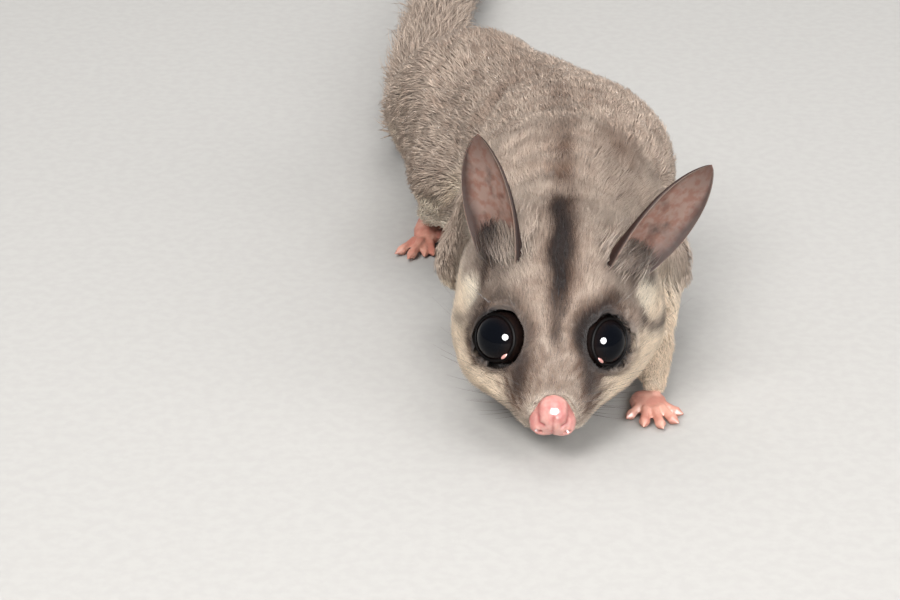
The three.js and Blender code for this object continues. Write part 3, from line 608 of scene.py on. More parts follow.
def fuse(voxel: float, *parts: bpy.types.Object) -> bpy.types.Object:
    """Joins parts into the first of them and gives them one closed surface.

    Args:
        voxel: How fine the surface is.
        *parts: Closed meshes.

    Returns:
        The first part, which is now all of them.
    """
    select_only(*parts)
    if len(parts) > 1:
        bpy.ops.object.join()
    piece = parts[0]
    piece.data.remesh_voxel_size = voxel
    bpy.ops.object.voxel_remesh()
    return piece


def copy_of(node: str, name: str, swell: float = 0.0) -> bpy.types.Object:
    """A merged copy of a frame node.

    Args:
        node: The node's name.
        name: The copy's name.
        swell: Metres that the copy's faces move outwards.

    Returns:
        The copy, at the origin.
    """
    copy = bpy.data.objects.new(name, frame["nodes"][node].data.copy())
    bpy.context.scene.collection.objects.link(copy)
    copy.data.materials.clear()
    with editing(copy):
        bpy.ops.mesh.remove_doubles(threshold=0.002 * MM)
        if swell:
            bpy.ops.transform.shrink_fatten(value=swell)
    return copy


def mesh_piece(name: str, points: np.ndarray, faces: np.ndarray) -> bpy.types.Object:
    """A new mesh object from arrays, with smooth faces."""
    mesh = bpy.data.meshes.new(name)
    mesh.from_pydata(points, [], faces)
    mesh.update()
    piece = bpy.data.objects.new(name, mesh)
    bpy.context.scene.collection.objects.link(piece)
    smooth_faces(piece)
    return piece


def wall(rows: int, each: int) -> list[tuple[int, int, int]]:
    """The triangles between rings of points that are numbered ring after ring."""
    faces = []
    for k in range(rows - 1):
        for n in range(each):
            a, b = k * each + n, k * each + (n + 1) % each
            faces += [(a, b, a + each), (b, b + each, a + each)]
    return faces


def closed_rings(rows: int, each: int) -> np.ndarray:
    """The triangles of rings that close on two more points, one before and one after them.

    Args:
        rows: How many rings.
        each: Points in a ring.

    Returns:
        The triangles, where the two points are numbered last.
    """
    faces, total = wall(rows, each), rows * each
    for n in range(each):
        after = (n + 1) % each
        faces += [(total, after, n), (total + 1, total - each + n, total - each + after)]
    return np.array(faces)


def outward(points: np.ndarray, faces: np.ndarray) -> np.ndarray:
    """The triangles of a closed shape, turned so that they face outwards."""
    a, b, c = (points[faces[:, n]] - points.mean(0) for n in range(3))
    volume = np.einsum("ij,ij->i", a, np.cross(b, c)).sum()
    return faces[:, ::-1] if volume < 0 else faces


def tube(line: np.ndarray, radii: np.ndarray, sides: int) -> tuple[np.ndarray, np.ndarray]:
    """A closed tube with pointed caps along a line.

    Args:
        line: Its middle, one stop a row.
        radii: Its half width at each stop.
        sides: How many sides.

    Returns:
        Points and triangles.
    """
    along = unit(np.gradient(line, axis=0))
    across = unit(np.cross(along, (0.0, 0.0, 1.0)))
    rise = np.cross(across, along)
    angle = np.arange(sides) * 2 * math.pi / sides
    ring = across[:, None] * np.cos(angle)[:, None] + rise[:, None] * np.sin(angle)[:, None]
    points = (line[:, None] + ring * np.asarray(radii)[:, None, None]).reshape(-1, 3)
    points = np.vstack([points, line[0], line[-1]])
    return points, outward(points, closed_rings(len(line), sides))


def smooth_line(stops: Sequence[Sequence[float]], count: int) -> np.ndarray:
    """A smooth curve through a few stops, as evenly numbered points."""
    stops = np.asarray(stops, float)
    knots = np.vstack([2 * stops[0] - stops[1], stops, 2 * stops[-1] - stops[-2]])
    places = np.linspace(0, len(stops) - 1, count)
    n = np.minimum(places.astype(int), len(stops) - 2)
    t = (places - n)[:, None]
    a, b, c, d = (knots[n + k] for k in range(4))
    curved, twisted = 2 * a - 5 * b + 4 * c - d, 3 * b - a - 3 * c + d
    return 0.5 * (2 * b + (c - a) * t + curved * t**2 + twisted * t**3)


@dataclass
class Skin:
    """The one skin of the animal, from its nose to the tip of its tail."""

    body: Body
    voxel: float = 0.62 * MM
    swell: float = 0.3 * MM  # closes the gaps between the frame's nodes
    tail_core: tuple[float, float] = (4.3 * MM, 1.7 * MM)
    flesh: tuple[str, ...] = ("head", "neck", "torso_front", "torso_rear", "tail_root")
    paired: tuple[str, ...] = ("upper_arm", "forearm", "thigh", "shank", "patagium")
    piece: bpy.types.Object = field(init=False)

    def build(self) -> None:
        """Models the skin and unwraps it by its own shape."""
        parts = [copy_of(node, "flesh_" + node, self.swell) for node in self.nodes()]
        parts.append(self.tail())
        for limb, paw in (("forearm", "hand"), ("shank", "foot")):
            parts += [self.sleeve(limb, paw, side) for side in SIDES]
        self.piece = fuse(self.voxel, *parts)
        self.piece.name = "skin"
        self.even_out()
        self.refine_face()
        self.shape_head()
        self.fold_skin()
        smooth_faces(self.piece)
        with editing(self.piece):
            bpy.ops.uv.smart_project(angle_limit=math.radians(70), island_margin=0.001)

    def nodes(self) -> list[str]:
        """The frame's nodes of flesh that become one with the skin."""
        return [*self.flesh, *(f"{n}_{side}" for n in self.paired for side in SIDES)]

    def tail(self) -> bpy.types.Object:
        """The tail's flesh, inside its brush of long hair."""
        line = smooth_line(TAIL_LINE, 60)
        share = np.linspace(0, 1, len(line))
        radii = self.tail_core[0] + (self.tail_core[1] - self.tail_core[0]) * share
        radii += 1.4 * MM * ease(0.14, 0.02, share)
        radii *= np.sqrt(np.clip((1 - share) / 0.03, 0, 1)) * 0.98 + 0.02
        return mesh_piece("flesh_tail", *tube(line, radii, 24))

    @staticmethod
    def sleeve(limb: str, paw: str, side: str) -> bpy.types.Object:
        """The limb's furred end, drawn down to the bare paw."""
        start = middle(f"{limb}_{side}")
        end = middle(f"{paw}_{side}") + np.array((0, 2.4 if paw == "hand" else 4.2, 1.0)) * MM
        line = smooth_line([start, (start + end) / 2, end], 12)
        radii = np.linspace(3.8, 1.9, 12) * MM
        radii[[0, -1]] = 0.3 * MM
        return mesh_piece("flesh_sleeve", *tube(line, radii, 16))

    def even_out(self) -> None:
        """Smooths the frame's facets away and sinks the skin by the depth of the coat."""
        surface = Surface(self.piece)
        h = HEAD.into(surface.points)
        on_head = ease(HEAD_ENDS, 34, h[:, 1])
        surface.smooth(26, 1 - 0.72 * on_head)
        surface.smooth(6, on_head)
        depth = self.body.at(surface.points)["depth"] + self.swell
        depth = (depth * (1 - past_root(surface.points, -4, 6)))[:, None]
        normals = surface.normals()
        for _ in range(3):
            normals = unit(surface.average(normals))
        for _ in range(4):
            depth = surface.average(depth)
        surface.points -= normals * depth
        surface.smooth(4, 1 - 0.5 * on_head)
        surface.write()

    def refine_face(self) -> None:
        """Gives the face smaller faces, for its lids, lips and folds."""
        h = HEAD.into(read(self.piece.data.polygons, "center", 3).astype(float))
        muzzle_ends, muzzle_top, round_eye = 13, 4, 7.2  # head millimetres
        chosen = (h[:, 1] < muzzle_ends) & (h[:, 2] < muzzle_top)
        for side in SIDES.values():
            chosen |= far(h, HEAD.eye_at(side)) < round_eye
        with editing(self.piece):
            bpy.ops.mesh.select_all(action="DESELECT")
        self.piece.data.polygons.foreach_set("select", chosen)
        bpy.ops.object.mode_set(mode="EDIT")
        bpy.ops.mesh.select_mode(type="FACE")
        bpy.ops.mesh.subdivide(number_cuts=1, smoothness=0.6)
        bpy.ops.object.mode_set(mode="OBJECT")

    def shape_head(self) -> None:
        """Opens the eye sockets, raises lids and whisker pads and draws the mouth."""
        surface = Surface(self.piece)
        surface.smooth(3, ease(HEAD_ENDS, 34, HEAD.into(surface.points)[:, 1]))
        h = HEAD.into(surface.points)
        normals = unit(surface.normals() @ HEAD.axes)
        for side in SIDES.values():
            h = self.socket(h, side)
            pad = hump(np.hypot((h[:, 0] - side * 4.1) * 1.1, (h[:, 1] - 6.2) * 0.75), 2.2)
            pad *= ease(1.5, -2, h[:, 2])
            cheek = hump(far(h, (side * 10.5, 14.5, -4.5)), 6)
            temple = hump(far(h, (side * 14, 24, -1)), 7.5)
            puffed = cheek * (1.4 if side > 0 else 2.6) + temple * (1.8 if side > 0 else 0)
            h += normals * (0.35 * pad + puffed)[:, None]
            h += normals * (0.2 * hump(far(h, NOSE_MIDDLE) - 3.6, 0.8))[:, None]
            line = smooth_line([(side * x, y, z) for x, y, z in MOUTH], 14)
            distance, share = near_line(h, line)
            end = ease(0, 0.08, share) * ease(1, 0.92, share)
            lip = hump(distance - 0.75, 0.42) * 0.3
            h += normals * ((lip - hump(distance, 0.4) * 0.8) * end)[:, None]
        surface.points = HEAD.out(h)
        surface.write()

    @staticmethod
    def socket(h: np.ndarray, side: int) -> np.ndarray:
        """Wraps the skin round one eyeball, open where the eye looks out."""
        centre, looks = HEAD.eye_at(side), HEAD.eye_looks(side)
        away = h - centre
        distance = np.linalg.norm(away, axis=1)
        towards = unit(away)
        angle = np.degrees(np.arccos(np.clip(towards @ looks, -1, 1)))
        opening = EYE_OPENING - 3 * np.abs(towards @ np.array(EYE_RISES))
        lid = HEAD.eye_radius + 0.4 * hump(angle - opening - 7, 7) + 0.12
        open_share = ease(opening + 1.5, opening - 4, angle)
        wanted = np.maximum(distance, lid) * (1 - open_share) + HEAD.eye_radius * 0.86 * open_share
        reach = HEAD.eye_radius + 3.2
        near = ease(reach, HEAD.eye_radius + 1.4, distance)
        moved = distance + (wanted - distance) * (1 - open_share * (1 - near))
        return np.where((distance < reach)[:, None], centre + towards * moved[:, None], h)

    def fold_skin(self) -> None:
        """Lays soft folds across the nape and small unevenness over the whole body."""
        surface = Surface(self.piece)
        h = HEAD.into(surface.points)
        x, y, z = h.T
        wave = y + 0.018 * x**2 + 1.2 * ripple(h, 12, 7)
        place = ease(36, 40, y) * ease(62, 52, y) * ease(-4, 4, z) * ease(13, 6, np.abs(x + 3))
        folds = (np.abs(np.sin(wave * math.pi / 4.6)) ** 0.6 - 0.6) * 1.4 * place
        folds -= 1.3 * hump(near_line(surface.points, crease_line())[0], 2.6 * MM)
        body = ease(30, 50, y)
        uneven = 0.35 * ripple(surface.points / MM, 9, 3) + 0.12 * ripple(surface.points / MM, 3.5, 5)
        before_tail = past_root(surface.points, 0, -10)
        shoulder = middle("upper_arm_left") + np.array((7, 1, 2)) * MM
        fluff = 1.5 * hump(far(surface.points, shoulder), 9 * MM) * ease(30, 38, y)
        surface.points += surface.normals() * ((folds + fluff + uneven * body * before_tail) * MM)[:, None]
        surface.write()


def mark(piece: bpy.types.Object, values: dict[str, np.ndarray]) -> None:
    """Writes point attributes."""
    for name, value in values.items():
        attribute = piece.data.attributes.new(name, "FLOAT", "POINT")
        attribute.data.foreach_set("value", np.ascontiguousarray(value, np.float32))


# Coat


@dataclass
class Roots:
    """Where tufts grow: each row is one root."""

    points: np.ndarray
    normals: np.ndarray
    patches: np.ndarray
    hair: np.ndarray
    width: np.ndarray
    depth: np.ndarray
    lie: np.ndarray


@dataclass
class Coat:
    """Solid tufts that grow from the skin, lie along the body and overlap."""

    body: Body
    markings: Markings
    skin: bpy.types.Object
    patch: float = 0.003  # how far across a tuft's patch is on the skin's unwrap
    sunk: float = 0.15 * MM  # how deep the roots sit in the skin
    floor_gap: float = 0.25 * MM
    swirl: float = 0.16
    off_eyes: float = 0.7  # how much tufts beside an eye point away from it
    lengths: tuple[float, float] = (0.7, 1.2)
    widths: tuple[float, float] = (0.75, 1.25)
    bend: float = 0.14
    lost: float = 1.6 * MM  # a tuft that ends farther from the skin is cut short

    def __post_init__(self) -> None:
        """Reads the skin's triangles and what the coat is like on each."""
        mesh = self.skin.data
        surface = Surface(self.skin)
        self.corners = surface.points[surface.triangles]
        self.corner_normals = surface.normals()[surface.triangles]
        loops = read(mesh.loop_triangles, "loops", 3, np.int32)
        self.corner_uv = read(mesh.uv_layers.active.data, "uv", 2)[loops]
        a, b, c = (self.corners[:, n] for n in range(3))
        self.areas = np.linalg.norm(np.cross(b - a, c - a), axis=1) / 2
        self.centres = self.corners.mean(axis=1)
        self.facing = unit(self.corner_normals.mean(axis=1))
        self.crowd = self.body.at(self.centres)["crowd"] * self.bare()
        self.ground = BVHTree.FromPolygons(surface.points.tolist(), surface.triangles.tolist())

    def bare(self) -> np.ndarray:
        """1 where fur grows, 0 on bare skin inside the sockets and under the nose pad, and fewer tufts where
        the skin faces down.
        """
        h = HEAD.into(self.centres)
        covered = np.ones(len(h))
        for side in SIDES.values():
            away = h - HEAD.eye_at(side)
            distance = np.linalg.norm(away, axis=1)
            angle = np.degrees(np.arccos(np.clip(unit(away) @ HEAD.eye_looks(side), -1, 1)))
            outside = ease(EYE_OPENING + 1, EYE_OPENING + 3, angle)
            outside *= ease(0.99, 1.02, distance / HEAD.eye_radius)
            covered *= np.maximum(outside, ease(HEAD.eye_radius + 0.5, HEAD.eye_radius + 0.9, distance))
        covered *= ease(2.7, 3.1, far(h, NOSE_MIDDLE, (1.0, 1.0, 0.8)))
        thin = 1 - 0.45 * ease(-0.3, -0.9, self.facing[:, 2])
        return covered * thin

    def roots(self, choice: np.ndarray, rng: np.random.Generator, limit: int) -> Roots:
        """Draws roots on the chosen triangles of the skin.

        Args:
            choice: Which triangles, true or false or a share for each.
            rng: The source of chance.
            limit: The most roots.

        Returns:
            The roots, with what the coat is like at each.
        """
        weight = self.areas * self.crowd * choice / MM**2
        share = 1.0
        count = min(int(weight.sum() * share), limit)
        chosen = np.searchsorted(np.cumsum(weight), rng.random(count) * weight.sum())
        chosen = np.minimum(chosen, len(weight) - 1)
        u, v = rng.random((2, count))
        flip = u + v > 1
        u, v = np.where(flip, 1 - u, u), np.where(flip, 1 - v, v)
        shares = np.stack([1 - u - v, u, v], 1)[:, :, None]
        points = (self.corners[chosen] * shares).sum(1)
        normals = unit((self.corner_normals[chosen] * shares).sum(1))
        patches = (self.corner_uv[chosen] * shares).sum(1)
        found = self.body.at(points)
        width = found["width"] * share**-0.5
        return Roots(points, normals, patches, found["hair"], width, found["depth"], found["lie"])

    def combed(self, roots: Roots, rng: np.random.Generator, stray: float) -> np.ndarray:
        """Where each tuft points along the skin: the coat's lie, with swirls and stray tufts."""
        places = roots.points / MM
        lie = roots.lie + stray * rng.normal(size=roots.lie.shape)
        for size, seeds in ((7, (31, 32, 33)), (2.2, (41, 42, 43))):
            lie += self.swirl * np.stack([ripple(places, size, seed) for seed in seeds], 1)
        h = HEAD.into(roots.points)
        for side in SIDES.values():
            away = h - HEAD.eye_at(side)
            close = hump(np.maximum(np.linalg.norm(away, axis=1) - HEAD.eye_radius, 0), 2.0)
            lie += self.off_eyes * close[:, None] * HEAD.aim(away)
        lie -= np.einsum("ij,ij->i", lie, roots.normals)[:, None] * roots.normals
        return unit(lie)

    def grow(
        self, name: str, choice: np.ndarray, seed: int, rings: int = 2, stray: float = 0.14,
        lift: float = 1.0, longer: float = 1.0, loose: bool = False,
    ) -> bpy.types.Object:
        """Grows one piece of the coat.

        Args:
            name: The piece's name.
            choice: Which triangles of the skin it grows on.
            seed: For its chance draws.
            rings: Rings of points along a tuft.
            stray: How far tufts stray from the lie.
            lift: How high the tips stand, as a share of the coat's depth.
            longer: Changes the length of the tufts.
            loose: Tufts stand free of the skin and don't follow its curves.

        Returns:
            The piece, with its markings and its OFBake map.
        """
        rng = np.random.default_rng(seed)
        triangles = 6 * (rings - 1) + 4
        roots = self.roots(choice, rng, TRIANGLES_A_PIECE // triangles)
        count = len(roots.points)
        lie = self.combed(roots, rng, stray)
        side = np.cross(roots.normals, lie)
        clump = 0.5 + 0.5 * ripple(roots.points / MM, 1.6, seed + 5)
        length = roots.hair * longer * rng.uniform(*self.lengths, count) * (0.88 + 0.2 * clump)
        width = roots.width * rng.uniform(*self.widths, count)
        height = roots.depth * lift * rng.uniform(0.3 if loose else 0.75, 1.25, count) * (0.8 + 0.4 * clump)
        bend = rng.normal(0, self.bend, count) * length
        shares = np.linspace(0, 1, rings + 1)
        layers = []
        for t in shares:
            rise = np.sin(t * math.pi / 2) * height - self.sunk * (1 - t)
            reach = length * (t - 0.06 * t**2)
            centre = roots.points + lie * reach[:, None] + side * (bend * t**2)[:, None]
            if t > 0.3 and not loose:
                centre = self.above(centre, roots, rise)
            else:
                centre = centre + roots.normals * rise[:, None]
            centre[:, 2] = np.maximum(centre[:, 2], self.floor_gap)
            if t == 1:
                layers.append(centre[:, None])
                continue
            half = (width * 0.5 * (0.75 + 0.5 * t) * (1 - t**2))[:, None]
            ridge = roots.normals * half * 0.8
            layers.append(np.stack([centre - side * half, centre + side * half, centre + ridge], 1))
        points = np.concatenate(layers, 1)
        each = points.shape[1]
        pattern = outward(points[0], self.pattern(rings))
        faces = (pattern[None] + (np.arange(count) * each)[:, None, None]).reshape(-1, 3)
        piece = mesh_piece(name, points.reshape(-1, 3), faces)
        along = np.repeat(shares[:-1], 3).tolist() + [1.0]
        masks = self.markings.at(roots.points, roots.normals)
        mark(piece, {m.value: np.repeat(value, each) for m, value in masks.items()})
        shade = np.clip(0.5 + 0.2 * rng.normal(size=count) + 0.16 * (clump - 0.5), 0, 1)
        mark(piece, {"along": np.tile(along, count), "shade": np.repeat(shade, each)})
        self.map_patches(piece, roots.patches, faces, np.array(along))
        LOG.info("%s: %d tufts, %d triangles", name, count, len(faces))
        return piece

    def above(self, places: np.ndarray, roots: Roots, height: np.ndarray) -> np.ndarray:
        """Moves places to a height over the skin, so that tufts follow its curves.

        Args:
            places: Where the tufts would reach on a flat skin.
            roots: Where the tufts grow.
                height: How high each place should be.

        Returns:
            The moved places.
        """
        found = [self.ground.find_nearest(place)[:2] for place in places.tolist()]
        near, outwards = (np.array([tuple(pair[n]) for pair in found]) for n in (0, 1))
        turned_off = np.einsum("ij,ij->i", outwards, roots.normals) < 0.1
        lost = (far(places, near) > self.lost) | turned_off
        cut_short = roots.points + 0.3 * (places - roots.points) + roots.normals * (0.5 * height)[:, None]
        return np.where(lost[:, None], cut_short, near + unit(outwards + roots.normals) * height[:, None])

    @staticmethod
    def pattern(rings: int) -> np.ndarray:
        """The triangles of one tuft: a closed blade of three sides."""
        last = 3 * (rings - 1)
        point = [(last + s, last + (s + 1) % 3, 3 * rings) for s in range(3)]
        return np.array([(0, 2, 1), *wall(rings, 3), *point])

    def map_patches(
        self, piece: bpy.types.Object, patches: np.ndarray, faces: np.ndarray, along: np.ndarray
    ) -> None:
        """Gives each tuft a small patch at its root's place on the skin's unwrap."""
        across = np.append(np.tile([-0.5, 0.5, 0.0], len(along) // 3), 0.0)
        offsets = np.stack([across, along - 0.5], 1) * self.patch
        spots = np.clip(patches, self.patch, 1 - self.patch)
        uv = (spots[:, None] + offsets[None]).reshape(-1, 2)
        layer = piece.data.uv_layers.new(name="OFBake")
        layer.data.foreach_set("uv", uv[faces.ravel()].astype(np.float32).ravel())


# Finishes


class Paper:
    """A node tree to draw on."""

    def __init__(self, tree: bpy.types.NodeTree) -> None:
        """Starts on an empty tree.

        Args:
            tree: A material's or a group's tree.
        """
        self.tree = tree
        tree.nodes.clear()

    def node(self, kind: str, settings: dict[str, object] | None = None, **inputs: object) -> bpy.types.Node:
        """Adds one node.

        Args:
            kind: Its type.
            settings: Its own options.
            **inputs: A value or a socket for each input, by its name with _ for a space, or by n and
                its number.

        Returns:
            The node.
        """
        made = self.tree.nodes.new(kind)
        for key, value in (settings or {}).items():
            setattr(made, key, value)
        for key, value in inputs.items():
            numbered = key[0] == "n" and key[1:].isdigit()
            socket = made.inputs[int(key[1:]) if numbered else key.replace("_", " ")]
            if isinstance(value, bpy.types.NodeSocket):
                self.tree.links.new(value, socket)
            else:
                socket.default_value = value
        return made

    def maths(self, operation: str, *values: object, clamp: bool = True) -> bpy.types.NodeSocket:
        """A sum, product or other mathematics of values and sockets."""
        inputs = {f"n{n}": value for n, value in enumerate(values)}
        return self.node("ShaderNodeMath", {"operation": operation, "use_clamp": clamp}, **inputs).outputs[0]

    def ramp(
        self, value: object, low: float, high: float, to_low: float = 0.0, to_high: float = 1.0
    ) -> bpy.types.NodeSocket:
        """A value brought from one range into another."""
        ends = {"From_Min": low, "From_Max": high, "To_Min": to_low, "To_Max": to_high}
        return self.node("ShaderNodeMapRange", Value=value, **ends).outputs[0]

    def bump(self, strength: float, distance: float, height: object) -> bpy.types.NodeSocket:
        """Small relief, with its distance in millimetres."""
        sizes = {"Strength": strength, "Distance": distance * MM}
        return self.node("ShaderNodeBump", Height=height, **sizes).outputs[0]

    def mix(self, share: object, a: object, b: object) -> bpy.types.NodeSocket:
        """Two colours mixed by a share."""
        return self.node("ShaderNodeMix", {"data_type": "RGBA"}, n0=share, n6=a, n7=b).outputs[2]

    def attribute(self, name: str) -> bpy.types.NodeSocket:
        """A point attribute's value."""
        return self.node("ShaderNodeAttribute", {"attribute_name": name}).outputs["Fac"]

    def noise(self, scale: float, detail: float = 3.0) -> bpy.types.NodeSocket:
        """Noise on object coordinates."""
        place = self.node("ShaderNodeTexCoord").outputs["Object"]
        return self.node("ShaderNodeTexNoise", Vector=place, Scale=scale, Detail=detail).outputs["Fac"]

    def shaded(self, base: object, value: object) -> bpy.types.NodeSocket:
        """A colour made lighter or darker."""
        return self.node("ShaderNodeHueSaturation", Value=value, Color=base).outputs[0]

    def surface(self, **inputs: object) -> None:
        """Ends the tree with its shader, which takes a value or a socket for each input."""
        shader = self.node("ShaderNodeBsdfPrincipled", **inputs)
        self.node("ShaderNodeOutputMaterial", Surface=shader.outputs[0])


Colour = tuple[float, float, float, float]


def colour(red: float, green: float, blue: float) -> Colour:
    """A colour from screen values of 0 to 255."""
    return (*((v / 255) ** 2.2 for v in (red, green, blue)), 1.0)


@dataclass(frozen=True)
class CoatColours:
    """The coat's colours, at the tips of its hair."""

    grey: Colour = colour(203, 183, 166)
    dark: Colour = colour(43, 29, 23)
    brown: Colour = colour(112, 82, 63)
    cream: Colour = colour(246, 232, 210)
    tawny: Colour = colour(228, 190, 152)

    def group(self) -> bpy.types.NodeTree:
        """The shader node group that turns the markings into the coat's colour."""
        tree = bpy.data.node_groups.new("Coat markings", "ShaderNodeTree")
        for mark_name in Mark:
            tree.interface.new_socket(mark_name.value.title(), in_out="INPUT", socket_type="NodeSocketFloat")
        tree.interface.new_socket("Mottling", in_out="INPUT", socket_type="NodeSocketFloat")
        tree.interface.new_socket("Colour", in_out="OUTPUT", socket_type="NodeSocketColor")
        paper = Paper(tree)
        given = paper.node("NodeGroupInput").outputs
        uneven = paper.maths("SUBTRACT", paper.noise(420, 4), 0.44)
        mottled = paper.maths("MULTIPLY", uneven, given["Mottling"])
        ground = paper.mix(mottled, self.grey, self.brown)
        ground = paper.mix(given["Brown"], ground, self.brown)
        pale = paper.mix(given["Tawny"], self.cream, self.tawny)
        ground = paper.mix(given["Cream"], ground, pale)
        ground = paper.mix(given["Dark"], ground, self.dark)
        paper.node("NodeGroupOutput", Colour=ground)
        return tree


@dataclass(frozen=True)
class FurFinish:
    """Hair, darker at its roots and lighter at its tips, with the coat's markings. The darker roots are
    partly the grey underfur and partly painted shade deep in the coat.
    """

    name: str
    roughness: float = 0.62
    mottling: float = 1.6
    # How dark the roots are: partly grey underfur, partly painted shade deep in the coat.
    root_underfur_and_shade: float = 0.6

    def material(self, markings: bpy.types.NodeTree) -> bpy.types.Material:
        """Builds the finish.

        Args:
            markings: The group that gives the coat's colour.

        Returns:
            The material.
        """
        material, paper = start_material(self.name)
        # Darker towards the roots: partly grey underfur, partly painted shade deep in the coat.
        tone = paper.ramp(paper.attribute("along"), 0, 0.75, self.root_underfur_and_shade)
        light = paper.ramp(paper.attribute("shade"), 0, 1, 0.68, 1.26)
        value = paper.maths("MULTIPLY", tone, light, clamp=False)
        shaded = paper.shaded(marked_colour(paper, markings, self.mottling), value)
        paper.surface(Base_Color=shaded, Roughness=self.roughness, Specular_IOR_Level=0.18, Sheen_Weight=0.03)
        return material


@dataclass(frozen=True)
class SkinFinish:
    """The skin under the coat, in the coat's own markings but darker, with fine grain."""

    name: str = "under coat"
    mottling: float = 1.2
    shade: float = 0.45

    def material(self, markings: bpy.types.NodeTree) -> bpy.types.Material:
        """Builds the finish, as FurFinish does."""
        material, paper = start_material(self.name)
        shaded = paper.shaded(marked_colour(paper, markings, self.mottling), self.shade)
        grain = paper.bump(0.5, 0.15, paper.noise(1500, 3))
        paper.surface(Base_Color=shaded, Roughness=0.85, Specular_IOR_Level=0.2, Normal=grain)
        return material


def start_material(name: str) -> tuple[bpy.types.Material, Paper]:
    """A material with an empty tree."""
    material = bpy.data.materials.new(name)
    material.use_nodes = True
    return material, Paper(material.node_tree)


def marked_colour(paper: Paper, markings: bpy.types.NodeTree, mottling: float) -> bpy.types.NodeSocket:
    """The markings group placed in a material and fed with the piece's attributes."""
    group = paper.node("ShaderNodeGroup", {"node_tree": markings}, Mottling=mottling)
    for mark_name in Mark:
        paper.tree.links.new(paper.attribute(mark_name.value), group.inputs[mark_name.value.title()])
    return group.outputs["Colour"]


@dataclass(frozen=True)
class BareFinish:
    """Bare skin: two colours in soft patches, fine creases and a moist or dry gloss."""

    name: str
    base: Colour
    patches: Colour
    roughness: float
    coat: float = 0.0
    specular: float = 0.4
    patch_scale: float = 500.0
    crease_scale: float = 2200.0
    crease: float = 0.4
    subsurface: float = 0.0

    def material(self) -> bpy.types.Material:
        """Builds the finish and returns the material."""
        material, paper = start_material(self.name)
        paper.surface(
            Base_Color=self.tint(paper),
            Roughness=self.roughness,
            Specular_IOR_Level=self.specular,
            Coat_Weight=self.coat,
            Coat_Roughness=0.12,
            Subsurface_Weight=self.subsurface,
            Subsurface_Radius=(1.0, 0.35, 0.25),
            Subsurface_Scale=0.8 * MM,
            Normal=paper.bump(self.crease, 0.08, paper.noise(self.crease_scale, 5)),
        )
        return material

    def tint(self, paper: Paper) -> bpy.types.NodeSocket:
        """The two colours in soft patches."""
        share = paper.ramp(paper.noise(self.patch_scale), 0.38, 0.62)
        return paper.mix(share, self.base, self.patches)


@dataclass(frozen=True)
class NoseFinish(BareFinish):
    """The moist pink pad, redder in its slits."""

    slit: Colour = colour(140, 52, 50)

    def tint(self, paper: Paper) -> bpy.types.NodeSocket:
        """The pad's patches, with the slits' colour."""
        share = paper.maths("MULTIPLY", paper.attribute("slit"), 0.85)
        return paper.mix(share, super().tint(paper), self.slit)


def dress(piece: bpy.types.Object, material: bpy.types.Material) -> None:
    """Gives a piece its material and its slot, and lets it ride on the one body."""
    piece.data.materials.clear()
    piece.data.materials.append(material)
    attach(piece, "root")


# Eyes, ears, nose, paws and whiskers


